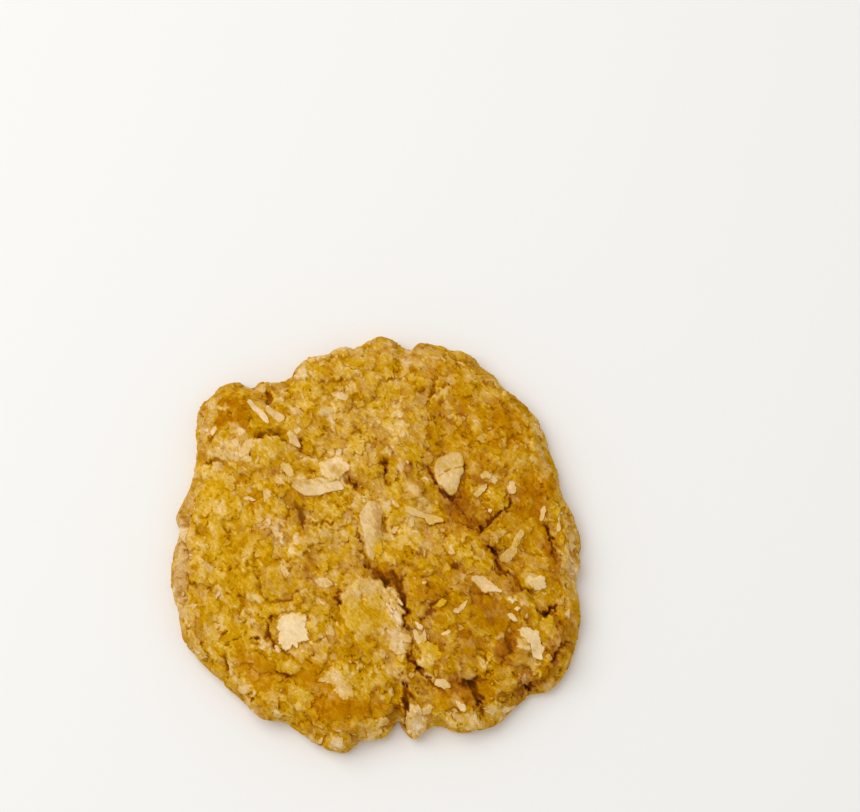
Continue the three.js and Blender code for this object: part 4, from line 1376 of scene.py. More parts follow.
    def lay_plates(self, seed: int) -> None:
        """Lays tilted ragged ovals one on another: at each place the highest shows, with its own tone.

        Args:
            seed: Which draws.
        """
        random = np.random.default_rng(seed)
        count, half = self.plates, self.flat.half - 4.0
        middles = random.uniform(-half, half, (count, 2))
        lengths = random.uniform(*self.plate_length, count)
        widths = lengths * random.uniform(*self.plate_slimness, count)
        turns = random.normal(LIE, STRAY, count)
        slopes = random.normal(0.0, self.plate_slope, (count, 2))
        levels = random.uniform(0.0, self.plate_level, count)
        tones = random.normal(0.0, self.plate_shade, count)
        drys = random.normal(0.0, self.plate_dry, count)
        lift = np.full(self.flat.u.shape, -self.plate_drop)
        shade, dry = np.zeros((2, *lift.shape))
        for (u, v), length, width, turn, slope, level, tone, dryness in zip(
            middles, lengths, widths, turns, slopes, levels, tones, drys,
        ):
            part = self.flat.window(u, v, length / 2.0 + 0.8)
            du, dv = self.local(part, u, v, 1.0)
            along, across = turned(du, dv, turn)
            reach = np.hypot(2.0 * along / length, 2.0 * across / width)
            edge = ease((1.0 - reach) * width / 2.0 / self.plate_edge)
            height = (level + slope[0] * du + slope[1] * dv) * edge - self.plate_drop * (1.0 - edge)
            shows = height > lift[part]
            for values, value in ((lift, height), (shade, tone), (dry, dryness)):
                values[part] = np.where(shows, value, values[part])
        self.relief += lift
        self.shade += self.flat.blur(shade, 0.12)
        self.dry += self.flat.blur(dry, 0.12)

    def add_clumps(self) -> None:
        """Adds rounded clumps and crumbs of three sizes, each a dome round a scattered point, with painted
        shade on the borders between them.
        """
        least, more = self.clump_swell
        for size, height, tone, seed in self.clumps:
            near, second, lot = self.flat.cells(size, seed, self.ragged)
            dome = np.maximum(0.0, 1.0 - (near / self.clump_reach) ** 2)
            border = np.exp(-(((second - near) / self.clump_border) ** 2))
            self.relief += height * (dome - 0.5) * (least + more * lot)
            # painted shade on the border between clumps
            self.shade += tone * (2.0 * lot - 1.0) - 0.5 * tone * border
            self.dry += self.clump_dry * tone * (np.modf(lot * 7.0)[0] * 2.0 - 1.0)
        self.relief += self.summed((self.grit,))

    def open_fissures(self, size: float, depth: float, width: float, share: float, seed: int) -> None:
        """Opens cracks along the borders between clumps, where a slow noise is high, and darkens them as
        painted shade.

        Args:
            size: The clumps' size in mm.
            depth: The cracks' depth in mm.
            width: Their half width, as a share of the size.
            share: Above which value of the noise a crack opens.
            seed: Which clumps.
        """
        flat = self.flat
        warp = tuple(2.0 * self.ragged[way] + 0.5 * flat.noise(3.0, seed + 5 + way) for way in (0, 1))
        near, second, _ = flat.cells(size, seed, warp)
        border = np.exp(-(((second - near) / width) ** 2))
        opened = ease((flat.noise(size * 0.8, seed + 7) - share) / 0.8)
        self.relief -= depth * border * opened
        # painted shade in the cracks
        self.shade -= self.fissure_painted_shade * border * opened

    def oval(self, patch: Patch) -> tuple[Part, Array]:
        """Where a patch lies on the map, and how much of it shows there."""
        u, v = self.seats.seat(patch.pixel)
        part = self.flat.window(u, v, 0.9 * max(patch.length, patch.width) + 1.0)
        along, across = turned(*self.local(part, u, v, self.patch_ragged), math.radians(patch.turn))
        reach = np.hypot(2.0 * along / patch.length, 2.0 * across / patch.width)
        return part, ease((1.0 + patch.softness - reach) / (2.0 * patch.softness))

    def lay_patches(self) -> None:
        """Lays the patches: each fades out over an oval with ragged edges, and its toast is patchy."""
        least, more = self.patch_toast
        for patch in PATCHES:
            part, share = self.oval(patch)
            self.shade[part] += patch.shade * share
            self.dry[part] += patch.dry * share
            patchy = least + more * ease(self.flat.noise(*PATCHY_NOISE)[part] / 2.0 + 0.5)
            self.toast[part] += patch.toast * share * patchy
            self.relief[part] += patch.rise * share
            if patch.rise < 0.0:
                self.taken[part] = np.maximum(self.taken[part], share)

    def lay_stains_and_shade(self) -> None:
        """Adds the stains, and the painted shade among them, that lie over flakes and dough alike."""
        self.stains_and_shade = [np.zeros(self.flat.u.shape) for _ in TONES]
        for stain_and_shade in STAINS_AND_SHADE:
            part, share = self.oval(stain_and_shade)
            for values, change in zip(self.stains_and_shade, (stain_and_shade.shade, stain_and_shade.dry, stain_and_shade.toast)):
                values[part] += change * share
        for values, added in zip((self.shade, self.dry, self.toast), self.stains_and_shade):
            values += added

    def lay_chips(self, seed: int) -> None:
        """Lays small angular chips of oat in the dough, most of them soaked by it.

        Each is the part of the plane inside five sides that face evenly spread, jittered ways.

        Args:
            seed: Which draws.
        """
        random = np.random.default_rng(seed)
        count, sides, half = self.chips, self.chip_sides, self.flat.half - 3.0
        middles = random.uniform(-half, half, (count, 2))
        lengths = lerp(*self.chip_length, random.uniform(0.0, 1.0, count) ** self.chip_small)
        slims = random.uniform(*self.chip_slimness, count)
        turns = random.normal(LIE, STRAY, count)
        pales = lerp(*self.chip_paler, random.uniform(0.0, 1.0, count) ** self.chip_soaked)
        driers = self.chip_drier * np.maximum(0.0, pales) + random.uniform(-0.1, 0.15, count)
        rises = random.uniform(*self.chip_rise, count)
        slopes = random.normal(0.0, self.chip_slope, (count, 2))
        ways = TURN * (np.arange(sides) + random.uniform(-0.3, 0.3, (count, sides))) / sides
        offsets = random.uniform(0.7, 1.05, (count, sides))
        ground, broad = self.flat.blur(self.relief, 0.35), self.flat.blur(self.shade, 0.8)
        for (u, v), length, slim, turn, paler, drier, rise, slope, facing, offset in zip(
            middles, lengths, slims, turns, pales, driers, rises, slopes, ways, offsets,
        ):
            part = self.flat.window(u, v, 0.6 * length + 0.3)
            du, dv = self.local(part, u, v, 0.6)
            along, across = turned(du, dv, turn)
            along, across = 2.0 * along / length, 2.0 * across / (length * slim)
            reach = np.full(du.shape, -1.0)
            for way, away in zip(facing, offset):
                reach = np.maximum(reach, (along * math.cos(way) + across * math.sin(way)) / away)
            share = ease((1.0 - reach) * (length * slim / 2.0) / self.chip_edge + 0.3)
            height = ground[part] + rise + slope[0] * du + slope[1] * dv
            self.relief[part] = lerp(self.relief[part], height, self.chip_cover[0] * share)
            colour = self.chip_cover[1] * share
            self.shade[part] = lerp(self.shade[part], broad[part] + paler, colour)
            self.dry[part] += drier * share

    def slits(self, flake: Flake, u: Array, v: Array) -> Array:
        """How much of a flake's slits each place shows: a bell curve across each slit's line."""
        dark = np.zeros(u.shape)
        for slit in flake.slits:
            away, _ = path_distance(u, v, self.seats.seats(slit.path))
            dark = np.maximum(dark, np.exp(-((away / (0.5 * slit.width)) ** 2)))
        return dark

    def bed_flake(self, flake: Flake, outline: Array, edge: float = 0.32) -> None:
        """Raises a flake out of the dough, as part of its skin.

        Its top stands above the smoothed dough by its rise and a crown, tilts with it, and keeps a
        little of the dough's own relief. Dough that has soaked or covered it shows in places.

        Args:
            flake: What it is like.
            outline: Its outline on the map.
            edge: The width of its ragged rim in mm.
        """
        middle, part = self.around(outline, 1.0)
        u, v = self.local(part, 0.0, 0.0, 0.9)
        depth, share = inside(outline, middle, u, v)
        cover = ease(depth / edge + 0.5)
        lean = flake.tilt[0] * (u - middle[0]) + flake.tilt[1] * (v - middle[1])
        own = self.bed_relief * (self.relief[part] - self.ground[part])
        crown = flake.crown * (1.0 - np.clip(share, 0, 1) ** 2)
        height = self.ground[part] + flake.rise + crown + lean + own
        soak = flake.glaze * ease((self.flat.noise(*SOAK_NOISE)[part] + 0.7) / 1.4)
        dark = self.slits(flake, u, v)
        fibre = self.bed_fibre * self.flat.noise(*FIBRE_NOISE)[part]
        shade = flake.shade + fibre - self.bed_soak[0] * soak - self.slit_shade * dark
        self.relief[part] = lerp(self.relief[part], height - self.slit_depth * dark, cover)
        self.shade[part] = lerp(self.shade[part], shade, cover)
        self.dry[part] = lerp(self.dry[part], flake.dry - self.bed_soak[1] * soak, cover)
        self.toast[part] = lerp(self.toast[part], flake.toast, cover)

    def press_pocket(self, flake: Flake, outline: Array) -> None:
        """Presses the dough down under a loose flake, where the flake stands clear of it.

        Args:
            flake: What it is like.
            outline: The flake's outline on the map.
        """
        middle, part = self.around(outline, 1.0)
        u, v = self.flat.u[part], self.flat.v[part]
        depth, share = inside(outline, middle, u, v)
        height = flake.height(u - middle[0], v - middle[1], np.clip(share, 0.0, 1.0))
        sunk = ease((depth - 0.12) / 0.35) * ease((height - 0.02) / 0.1)
        self.relief[part] = lerp(self.relief[part], self.ground[part] - self.pocket_depth, sunk)

    def paint_edge_shadow(self, outline: Array, bearing: float, most: float, width: float) -> None:
        """Paints a shadow on the dough close beside a flake's raised side, in places.

        Args:
            outline: The flake's outline on the map.
            bearing: The way in which its raised side faces.
            most: How much darker.
            width: The dark band's width in mm.
        """
        middle, part = self.around(outline, 2.0 * width)
        u, v = self.flat.u[part] + 0.4 * self.ragged[0][part], self.flat.v[part]
        depth, _ = inside(outline, middle, u, v)
        side = np.cos(np.arctan2(v - middle[1], u - middle[0]) - bearing)
        patchy = ease(self.flat.noise(*SHADOW_NOISE)[part] + 0.6)
        band = np.exp(-((np.maximum(0.0, -depth) / width) ** 2)) * (depth < 0.25)
        # painted shadow beside the raised side
        self.shade[part] -= most * band * patchy * ease(side + 0.4)

    def keep_clear(self, outline: Array) -> None:
        """Marks a named flake's place, so that scattered flakes cover no more than its rim."""
        middle, part = self.around(outline, 1.0)
        depth, _ = inside(outline, middle, self.flat.u[part], self.flat.v[part])
        self.taken[part] = np.maximum(self.taken[part], ease((depth + 0.1) / 0.3))

    def cut_cracks(self) -> None:
        """Cuts the cracks and pits: grooves of uneven width with a steep wall, and round holes, all darkened
        as painted shade, as is the wide groove round each crack.
        """
        swell = self.flat.noise(*SWELL_NOISE)
        for crevice in CREVICES:
            path = self.seats.seats(crevice.path)
            middle = (path.min(axis=0) + path.max(axis=0)) / 2.0
            part = self.flat.window(middle[0], middle[1], float(np.abs(path - middle).max()) + 2.5)
            away, share = path_distance(*self.local(part, 0.0, 0.0, self.crack_ragged), path)
            taper = lerp(self.crack_end, 1.0, np.sin(math.pi * np.clip(share, 0.0, 1.0)) ** 0.5)
            width = crevice.width / 2.0 * taper * (1.0 + self.crack_swell * swell[part])
            slot = 1.0 - ease((away / np.maximum(0.08, width) - 0.35) / 1.2)
            groove = np.exp(-((away / (self.groove_width * crevice.width)) ** 2))
            deep = self.crack_depth * crevice.depth * taper * slot
            self.relief[part] -= deep + self.groove_depth * crevice.depth * groove
            # painted shade in the crack and the groove round it
            self.shade[part] -= self.crack_painted_shade * slot * min(1.0, crevice.depth) + self.groove_painted_shade * groove
            self.taken[part] = np.maximum(self.taken[part], slot)
        for pit in PITS:
            u, v = self.seats.seat(pit.pixel)
            part = self.flat.window(u, v, 2.0 * pit.width)
            away = np.hypot(*self.local(part, u, v, 1.0))
            hole = 1.0 - ease((2.0 * away / pit.width - 0.4) / 0.8)
            self.relief[part] -= self.pit_depth * pit.depth * hole
            self.taken[part] = np.maximum(self.taken[part], hole)
            # painted shade in the pit
            self.shade[part] -= self.pit_painted_shade * hole

    def fade(self, u: Array, v: Array) -> Array:
        """How much of the relief a place shows: all on the top, less round the edge, none underneath."""
        bearing, distance = np.arctan2(v, u), np.hypot(u, v)
        past = distance - (self.form.rim(bearing) - self.form.side_run + self.form.side_drape)
        side, under, run = *self.edge_fade, self.edge_fade_run
        return 1.0 - side * ease((past + run) / run) - under * ease(past / self.form.base_drape)

    def build(self, material: bpy.types.Material) -> bpy.types.Object:
        """Makes the dough's closed skin, with its underside. Hollows are painted darker and humps lighter, as
        painted shade and light.

        Args:
            material: Its finish.

        Returns:
            The new object, which stands for the solid.
        """
        flat = self.flat
        places, faces = skin_net(self.form, self.rings)
        u, v = places[:, 0], places[:, 1]
        relief = self.fade(u, v) * flat.sample(self.relief, u, v)
        points = self.form.skin(u, v) + self.form.facing(u, v) * relief[:, None]
        points[:, 2] = np.maximum(points[:, 2], 0.0)
        # painted shade in hollows, and painted light on humps
        hollow = sum(
            np.clip(steep * (flat.blur(self.relief, spread) - self.relief), least, most)
            for spread, steep, least, most in self.painted_hollow_shading
        )
        top = np.array([flat.sample(values, u, v) for values in (self.shade - hollow, self.dry, self.toast)])
        inner, inner_faces = self.underside(points[-6 * self.rings :], len(points))
        under = np.array([[self.tone - self.under_darker], [self.dryness], [self.under_toast]])
        net = Net(
            np.concatenate([points, inner]),
            np.concatenate([faces, inner_faces]),
            np.concatenate([top, np.repeat(under, len(inner), axis=1)], axis=1),
        )
        piece = net.make(Role.DOUGH, material)
        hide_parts(NODE)
        return piece

    def underside(self, edge: Array, start: int) -> tuple[Array, Array]:
        """The flat underside, as rings that shrink from the skin's last ring to a middle point.

        Args:
            edge: The skin's last ring.
            start: How many points come before the new ones.

        Returns:
            The new points and the triangles that join them to the edge.
        """
        count = len(edge)
        shares = 1.0 - np.arange(1, self.under_rings + 1) / (self.under_rings + 1.0)
        rings = edge[None, :, :] * shares[:, None, None]
        rings[:, :, 2] = 0.0
        points = np.concatenate([rings.reshape(-1, 3), np.zeros((1, 3))])
        ring_starts = np.concatenate([[start - count], start + count * np.arange(self.under_rings)])
        faces = [ring_band(first, second, count) for first, second in zip(ring_starts, ring_starts[1:])]
        faces.append(ring_fan(ring_starts[-1], start + len(points) - 1, count))
        return points, np.concatenate(faces)


@dataclass
class FlakeBody:
    """A thin closed body on the dough, made from its outline on the map."""

    dough: Dough
    spacing: float = 0.17  # mm between points
    edge_radius: float = 0.22  # mm of its rounded rim
    edge_share: float = 0.2  # the most of its half width that the rim takes
    depth: float = 0.45  # mm that it goes down into the dough
    dip: float = 0.08  # mm that its rim rises and sinks
    wave: float = 0.035  # mm that its top does
    slit_depth: float = 0.14  # mm
    crowding: float = 1.25  # the power by which rings crowd towards the rim
    fibre: float = 0.014  # how far its fibres change its lightness
    soaked: Span = (0.07, 0.7)  # how much darker, and less dry, it is where it is soaked
    rim_soak: Span = (0.35, 0.14)  # how soaked its rim is, and over which share of the way in
    bare: Span = (-0.02, 0.06)  # mm above the dough's skin, where its own colour starts and is full
    likeness: float = 0.25  # how much of the dough's own colour variation it shows
    takes_stains_and_shade: bool = True  # whether the stains and painted shade over all show on it

    def build(self, flake: Flake, outline: Array) -> Net:
        """Works out one flake.

        The top is a fan of rings from the middle to the outline, rounded over at the rim. Under the rim
        a last ring and a middle point lie deep in the dough. Where the top comes near the dough's own
        skin, its colour turns to the dough's.

        Args:
            flake: What it is like.
            outline: Its outline on the map, anticlockwise.

        Returns:
            The flake's net.
        """
        dough, flat, form = self.dough, self.dough.flat, self.dough.form
        middle = outline.mean(axis=0)
        radii = np.linalg.norm(outline - middle, axis=1)
        rings = max(3, int(radii.max() / self.spacing))
        share = (1.0 - (1.0 - np.arange(1, rings + 1) / rings) ** self.crowding)[:, None]
        grid = middle + (outline - middle)[None, :, :] * share[:, :, None]
        u, v = grid[..., 0], grid[..., 1]
        right, beyond = u - middle[0], v - middle[1]
        edge_radius = min(self.edge_radius, self.edge_share * radii.min())
        over = np.clip(1.0 - (1.0 - share) * radii[None, :] / edge_radius, 0.0, 1.0)
        round_off = edge_radius * (1.0 - np.sqrt(1.0 - over**2))
        waves = flat.sample(flat.noise(*WAVE_NOISE), u, v)
        dips = self.dip * waves[-1:, :] * share**3
        dark = dough.slits(flake, u, v)
        height = flake.height(right, beyond, share) + self.wave * waves + dips
        height = height - round_off - self.slit_depth * dark
        fade = dough.fade(u, v)
        ground = fade * flat.sample(dough.ground, u, v)
        base, facing = form.skin(u, v), form.facing(u, v)
        top = base + facing * (ground + height)[..., None]
        bottom = base[-1] + facing[-1] * (ground[-1] - self.depth)[:, None]
        high = top[0].mean(axis=0) + facing[0].mean(axis=0) * flake.crown * share[0] ** 2
        points = np.concatenate([high[None, :], top.reshape(-1, 3), bottom, bottom.mean(axis=0)[None, :]])
        bare = ground + height - fade * flat.sample(dough.relief, u, v)
        shows = ease((bare - self.bare[0]) / (self.bare[1] - self.bare[0]))
        soak = flake.glaze * ease((flat.sample(flat.noise(*SOAK_NOISE), u, v) + 0.5) / 1.4)
        rim, run = self.rim_soak
        soak = np.maximum(soak, rim * ease((share - 1.0 + run) / run) * np.ones_like(u))
        fibre = self.fibre * flat.sample(flat.noise(*FIBRE_NOISE), u, v)
        under = [flat.sample(values, u, v) for values in (dough.shade, dough.dry, dough.toast)]
        # paler: painted light and shade across the upright oat
        lean = flake.shade + flake.paler[0] * right + flake.paler[1] * beyond
        own = (
            lean + fibre - self.soaked[0] * soak - dough.slit_shade * dark
            + self.likeness * (under[0] - under[0].mean()),
            flake.dry - self.soaked[1] * soak + self.likeness * (under[1] - under[1].mean()),
            flake.toast,
        )
        tones = []
        for below, above, stain_and_shade in zip(under, own, dough.stains_and_shade):
            added = flat.sample(stain_and_shade, u, v) if self.takes_stains_and_shade else 0.0
            tone = lerp(below, above + added, shows)
            tones.append(np.concatenate([[tone[0].mean()], tone.ravel(), tone[-1], [tone[-1].mean()]]))
        return Net(points, ring_faces(rings + 1, len(outline)), np.array(tones))


def ring_band(first: int, second: int, count: int) -> Array:
    """Triangles between two rings of count points, which start at those two indices."""
    here = np.arange(count)
    beyond = (here + 1) % count
    return np.concatenate([
        np.stack([first + here, second + here, second + beyond], axis=1),
        np.stack([first + here, second + beyond, first + beyond], axis=1),
    ])


def ring_fan(start: int, tip: int, count: int) -> Array:
    """Triangles from a ring of count points, which starts at that index, to the point at the tip."""
    here = np.arange(count)
    return np.stack([start + here, np.full(count, tip), start + (here + 1) % count], axis=1)


def ring_faces(rings: int, count: int) -> Array:
    """Triangles of a closed body: a first point, rings of count points, and a last point.

    Args:
        rings: How many rings.
        count: Points in each.

    Returns:
        Triangles as rows of three indices, facing outwards where the rings run anticlockwise.
    """
    starts = 1 + count * np.arange(rings)
    bands = [ring_band(inner, outer, count) for inner, outer in zip(starts, starts[1:])]
    return np.concatenate([
        ring_fan(1, 0, count)[:, [1, 0, 2]],
        *bands,
        ring_fan(starts[-1], 1 + rings * count, count),
    ])


def even_outline(
    knots: Array, spacing: float, ragged: float, seed: int, straight: bool = False,
) -> Array:
    """An outline through the knots with evenly spaced points, slightly ragged.

    Args:
        knots: Places round it on the map.
        spacing: Distance between the points in mm.
        ragged: How far its edge strays in mm.
        seed: Which draws.
        straight: Whether its sides are straight, rather than one smooth line.

    Returns:
        Places round it, anticlockwise.
    """
    line = knots if straight else closed_spline(knots, 16)
    area = np.sum(line[:, 0] * np.roll(line[:, 1], -1) - line[:, 1] * np.roll(line[:, 0], -1))
    if area < 0.0:
        line = line[::-1]
    closed = np.concatenate([line, line[:1]])
    run = np.concatenate([[0.0], np.cumsum(np.linalg.norm(np.diff(closed, axis=0), axis=1))])
    count = max(10, int(run[-1] / spacing))
    wanted = np.arange(count) / count * run[-1]
    even = np.stack([np.interp(wanted, run, closed[:, axis]) for axis in (0, 1)], axis=1)
    random = np.random.default_rng(700 + seed)
    turn = TURN * np.arange(count) / count
    waves = sum(
        length**0.5 * np.sin(round(run[-1] / length) * turn + random.uniform(0.0, TURN))
        for length in EDGE_WAVES
    )
    middle = even.mean(axis=0)
    outward = (even - middle) / np.linalg.norm(even - middle, axis=1)[:, None]
    return even + outward * (ragged * waves)[:, None]


def uneven_oval(
    middle: Array, run: Array, half_width: float, corners: int, random: np.random.Generator,
    reach: Span = (0.72, 1.22),
) -> Array:
    """Corners spread round a blunt oval, each moved in or out and along.

    Args:
        middle: Its middle on the map.
        run: From its middle to one end.
        half_width: Half its width in mm.
        corners: How many.
        random: The draws.
        reach: How far out a corner may lie, as shares of the oval's own.

    Returns:
        The corners, one row each.
    """
    aside = np.array([-run[1], run[0]]) / np.linalg.norm(run) * half_width
    turn = TURN * (np.arange(corners) + random.uniform(-0.3, 0.3, corners)) / corners
    out = random.uniform(*reach, corners)
    ends, sides = (np.sign(wave) * np.abs(wave) ** 0.8 for wave in (np.cos(turn), np.sin(turn)))
    return middle + (ends * out)[:, None] * run + (sides * out)[:, None] * aside


@dataclass
class Flakes:
    """A set of flakes of one kind: some raised in the dough's own skin, some bodies joined in one mesh."""

    role: Role
    dough: Dough
    flakes: tuple[Flake, ...]
    slips: tuple[Slip, ...] = ()
    spacing: float = 0.17  # mm between points round an outline
    slip_corners: int = 8
    slip_reach: Span = (0.8, 1.12)
    slip_ragged: float = 0.05  # mm
    slip_tilt: Span = (0.1, -0.1)  # mm of rise for each mm to the right, and away
    slip_tilt_spread: float = 0.06
    straight: float = 0.6  # share of the slips with straight sides
    buttery: float = -1.0  # a slip with this toast or less is golden all through
    painted_shadow_bearing: float = math.radians(-50.0)  # the way in which the painted shadow beside a flake falls
    painted_shadow: float = 0.1  # how much darker the painted shadow is
    painted_shadow_width: float = 0.6  # mm
    bodies: list[tuple[Flake, Array]] = field(init=False)

    def __post_init__(self) -> None:
        """Finds every outline on the map."""
        self.bodies = []
        for flake in self.flakes:
            knots = self.dough.seats.seats(flake.outline)
            LOG.info("%s at %.1f, %.1f mm", flake.name, *knots.mean(axis=0))
            self.bodies.append((flake, even_outline(knots, self.spacing, flake.ragged, len(self.bodies))))
        for slip in self.slips:
            self.bodies.append(self.slip_body(slip, len(self.bodies)))

    def slip_body(self, slip: Slip, seed: int) -> tuple[Flake, Array]:
        """A small flake from its two ends: an uneven oval with a few corners.

        Args:
            slip: What it is like.
            seed: Which draws.

        Returns:
            The flake and its outline on the map.
        """
        start, end = self.dough.seats.seats((slip.start, slip.end))
        random = np.random.default_rng(900 + seed)
        middle, run = (start + end) / 2.0, (end - start) / 2.0
        knots = uneven_oval(middle, run, slip.width / 2.0, self.slip_corners, random, self.slip_reach)
        flake = Flake(
            "slip", rise=slip.rise + random.uniform(-0.05, 0.05), crown=random.uniform(0.03, 0.1),
            shade=slip.shade, dry=random.uniform(0.55, 0.85) if slip.toast > self.buttery else 0.0,
            toast=slip.toast, glaze=random.uniform(0.0, 0.35),
            tilt=tuple(random.normal(tilt, self.slip_tilt_spread) for tilt in self.slip_tilt),
            loose=slip.loose,
        )
        straight = random.uniform() < self.straight
        return flake, even_outline(knots, self.spacing, self.slip_ragged, seed, straight)

    def bed(self) -> None:
        """Raises the flakes that are part of the skin, and presses a pocket under each of the others, with a
        painted shadow on the dough beside its raised side.
        """
        for flake, outline in self.bodies:
            self.dough.keep_clear(outline)
            if flake.loose:
                # a painted shadow on the dough beside the flake's raised side
                self.dough.paint_edge_shadow(outline, self.painted_shadow_bearing, self.painted_shadow, self.painted_shadow_width)
                self.dough.press_pocket(flake, outline)
            else:
                self.dough.bed_flake(flake, outline)

    def build(self, material: bpy.types.Material) -> bpy.types.Object:
        """Makes the loose flakes as one mesh.

        Args:
            material: Their finish.

        Returns:
            The new object.
        """
        maker = FlakeBody(self.dough, self.spacing)
        nets = [maker.build(flake, outline) for flake, outline in self.bodies if flake.loose]
        return Net.joined(nets).make(self.role, material)


@dataclass
class Shingles:
    """Flakes baked into the dough's top and side, largest first and evenly spread, clear of the named ones.

    Each dips into the dough on the side towards the far left and stands out on the other, with a painted
    shadow on the dough beside that side. Of two numbers in brackets the first is the least and the second the
    most.
    """

    role: Role
    dough: Dough
    count: int
    length: Span  # mm
    slimness: Span
    paler: Span  # how much lighter than the dough round it
    drier: float  # how much drier for each step of lightness
    rise: Span  # mm
    slope: Span  # mm of rise for each mm along its tilt
    spacing: float  # mm between points
    corners: int
    seed: int
    straight: float = 0.5  # share of them with straight sides
    ragged: Span = (0.03, 0.02)  # mm that an edge strays, and more for each mm of length
    tries: int = 8
    painted_shadow: float = 0.11  # how much darker the painted shadow on the dough is beside a flake's raised side
    painted_shadow_width: float = 0.5  # mm
    buried: float = 135.0  # degrees anticlockwise from the right
    buried_spread: float = 50.0

    def build(self, material: bpy.types.Material) -> bpy.types.Object:
        """Places the flakes and joins them.

        Args:
            material: Their finish.

        Returns:
            The new object.
        """
        random = np.random.default_rng(self.seed)
        dough, flat = self.dough, self.dough.flat
        lengths = np.sort(lerp(*self.length, random.uniform(0.0, 1.0, self.count) ** 2.0))[::-1]
        maker = FlakeBody(dough, self.spacing, dip=0.05, likeness=0.7, takes_stains_and_shade=False)
        broad = flat.blur(dough.shade, 0.6)
        placed, nets = np.zeros((0, 3)), []
        for length in lengths:
            place = self.free_place(length, placed, random)
            if place is None:
                continue
            placed = np.concatenate([placed, [[*place, length]]])
            turn = random.normal(LIE, STRAY)
            run = length / 2.0 * np.array([math.cos(turn), math.sin(turn)])
            half_width = length / 2.0 * random.uniform(*self.slimness)
            knots = uneven_oval(place, run, half_width, self.corners, random)
            ragged = self.ragged[0] + self.ragged[1] * length
            outline = even_outline(knots, self.spacing, ragged, len(placed), random.uniform() < self.straight)
            bearing = math.radians(random.normal(self.buried, self.buried_spread))
            slope = random.uniform(*self.slope)
            paler = lerp(*self.paler, random.uniform(0.0, 1.0) ** 1.3)
            # a painted shadow on the dough beside the flake's raised side
            dough.paint_edge_shadow(outline, bearing + math.pi, self.painted_shadow, self.painted_shadow_width)
            shade, dry, toast = (
                float(flat.sample(values, place[:1], place[1:])[0])
                for values in (broad, dough.dry, dough.toast)
            )
            flake = Flake(
                "shingle", rise=random.uniform(*self.rise), crown=random.uniform(0.02, 0.1),
                shade=shade + paler,
                dry=dry + self.drier * max(0.0, paler) + random.uniform(-0.05, 0.1), toast=toast,
                glaze=random.uniform(0.0, 0.3),
                tilt=(-slope * math.cos(bearing), -slope * math.sin(bearing)),
            )
            nets.append(maker.build(flake, outline))
        return Net.joined(nets).make(self.role, material)

    def free_place(self, length: float, placed: Array, random: np.random.Generator) -> Array | None:
        """Of a few places drawn, the one farthest from the flakes already laid, if any is free.

        Args:
            length: The flake's length in mm.
            placed: Rows of the earlier flakes' places and lengths.
            random: The draws.

        Returns:
            The place on the map, or None where none of them is free.
        """
        form, dough = self.dough.form, self.dough
        bearing = random.uniform(-math.pi, math.pi, self.tries)
        widest = form.rim(bearing) - form.side_run + form.side_drape - 0.5 * length
        distance = widest * np.sqrt(random.uniform(0.0, 1.0, self.tries))
        places = np.stack([distance * np.cos(bearing), distance * np.sin(bearing)], axis=1)
        around, out = np.meshgrid(TURN * np.arange(12) / 12.0, length * np.array([0.1, 0.25, 0.4]))
        ring = np.stack([(out * np.cos(around)).ravel(), (out * np.sin(around)).ravel()], axis=1)
        checked = places[:, None, :] + ring[None, :, :]
        blocked = dough.flat.sample(dough.taken, checked[..., 0], checked[..., 1]).max(axis=1) > 0.5
        room = np.full(self.tries, np.inf)
        if len(placed):
            away = np.linalg.norm(places[:, None, :] - placed[None, :, :2], axis=2)
            room = (away / (length + placed[None, :, 2])).min(axis=1)
        room = np.where(blocked, -1.0, room)
        best = int(np.argmax(room))
        return places[best] if room[best] > 0.0 else None


# ---------------------------------------------------------------------------------------------
# Studio
# ---------------------------------------------------------------------------------------------


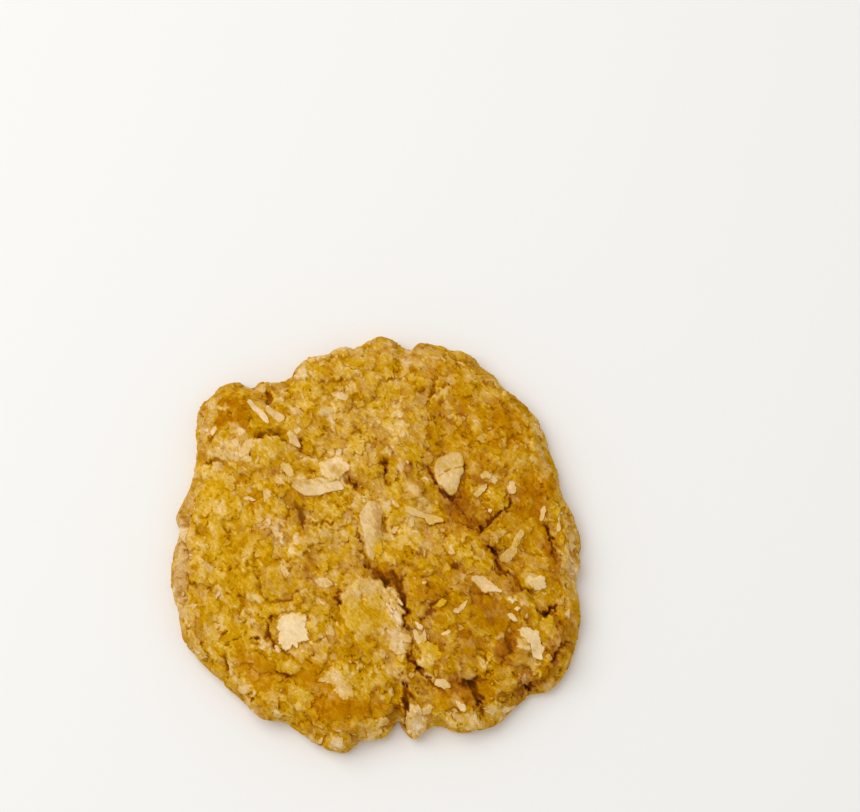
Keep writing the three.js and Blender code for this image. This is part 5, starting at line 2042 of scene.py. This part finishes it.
@dataclass(frozen=True)
class Studio:
    """A pale floor and soft light from above, mostly from the far left."""

    floor_half: float = 1.2  # m
    floor_colour: str = "#F4F3F1"
    floor_roughness: float = 0.9
    floor_specular: float = 0.1
    key_power: float = 3.8  # W
    key_size: float = 0.7  # m
    key_place: tuple[float, float, float] = (-0.36, 0.2, 0.72)  # m
    key_colour: tuple[float, float, float] = (1.0, 0.985, 0.96)
    sky: float = 0.62

    def floor(self) -> bpy.types.Object:
        """Makes the floor."""
        h = self.floor_half
        mesh = bpy.data.meshes.new("floor")
        mesh.from_pydata([(-h, -h, 0.0), (h, -h, 0.0), (h, h, 0.0), (-h, h, 0.0)], [], [(0, 1, 2, 3)])
        material = bpy.data.materials.new("studio paper")
        material.use_nodes = True
        surface = material.node_tree.nodes["Principled BSDF"]
        surface.inputs["Base Color"].default_value = to_linear(self.floor_colour)
        surface.inputs["Roughness"].default_value = self.floor_roughness
        surface.inputs["Specular IOR Level"].default_value = self.floor_specular
        mesh.materials.append(material)
        floor = bpy.data.objects.new("floor", mesh)
        bpy.context.scene.collection.objects.link(floor)
        return floor

    def lights(self) -> None:
        """Makes the key light and the even light of the room."""
        light = bpy.data.lights.new("key", "AREA")
        light.energy, light.size = self.key_power, self.key_size
        light.color = self.key_colour
        key = bpy.data.objects.new("key", light)
        key.location = self.key_place
        key.rotation_euler = (-Vector(self.key_place)).to_track_quat("-Z", "Y").to_euler()
        bpy.context.scene.collection.objects.link(key)
        world = bpy.data.worlds.new("room")
        world.use_nodes = True
        background = world.node_tree.nodes["Background"]
        background.inputs["Color"].default_value = (1.0, 1.0, 1.0, 1.0)
        background.inputs["Strength"].default_value = self.sky
        bpy.context.scene.world = world

    def build(self) -> None:
        """Makes the floor and the lights, and sets how colours are shown."""
        self.floor()
        self.lights()
        bpy.context.scene.view_settings.view_transform = "Standard"


def main() -> None:
    """Builds the cookie's pieces in order, and reports each."""
    logging.basicConfig(level=logging.INFO, format="%(name)s: %(message)s")
    view = PhotoView()
    view.add_camera()
    Studio().build()
    form = BakedForm()
    dough = Dough(form, Seats(form, view), FlatMap())
    oats = Flakes(Role.OATS, dough, OATS, SLIPS)
    nuts = Flakes(Role.NUTS, dough, NUTS)
    oats.bed()
    nuts.bed()
    dough.lay_stains_and_shade()
    dough.cut_cracks()
    baked, oat, cashew = BAKED_DOUGH.material(), ROLLED_OAT.material(), CASHEW.material()
    Shingles(
        Role.SHINGLES, dough, count=300, length=(1.8, 6.0), slimness=(0.4, 0.8), paler=(-0.03, 0.09),
        drier=3.0, rise=(-0.02, 0.08), slope=(0.04, 0.12), spacing=0.26, corners=8, seed=91,
    ).build(baked)
    Shingles(
        Role.BITS, dough, count=900, length=(0.6, 2.2), slimness=(0.35, 0.8), paler=(0.0, 0.15), drier=4.0,
        rise=(0.0, 0.1), slope=(0.0, 0.14), spacing=0.2, corners=5, seed=92, straight=0.8, painted_shadow=0.05,
        painted_shadow_width=0.3,
    ).build(oat)
    oats.build(oat)
    nuts.build(cashew)
    dough.build(baked)


if __name__ == "__main__":
    main()
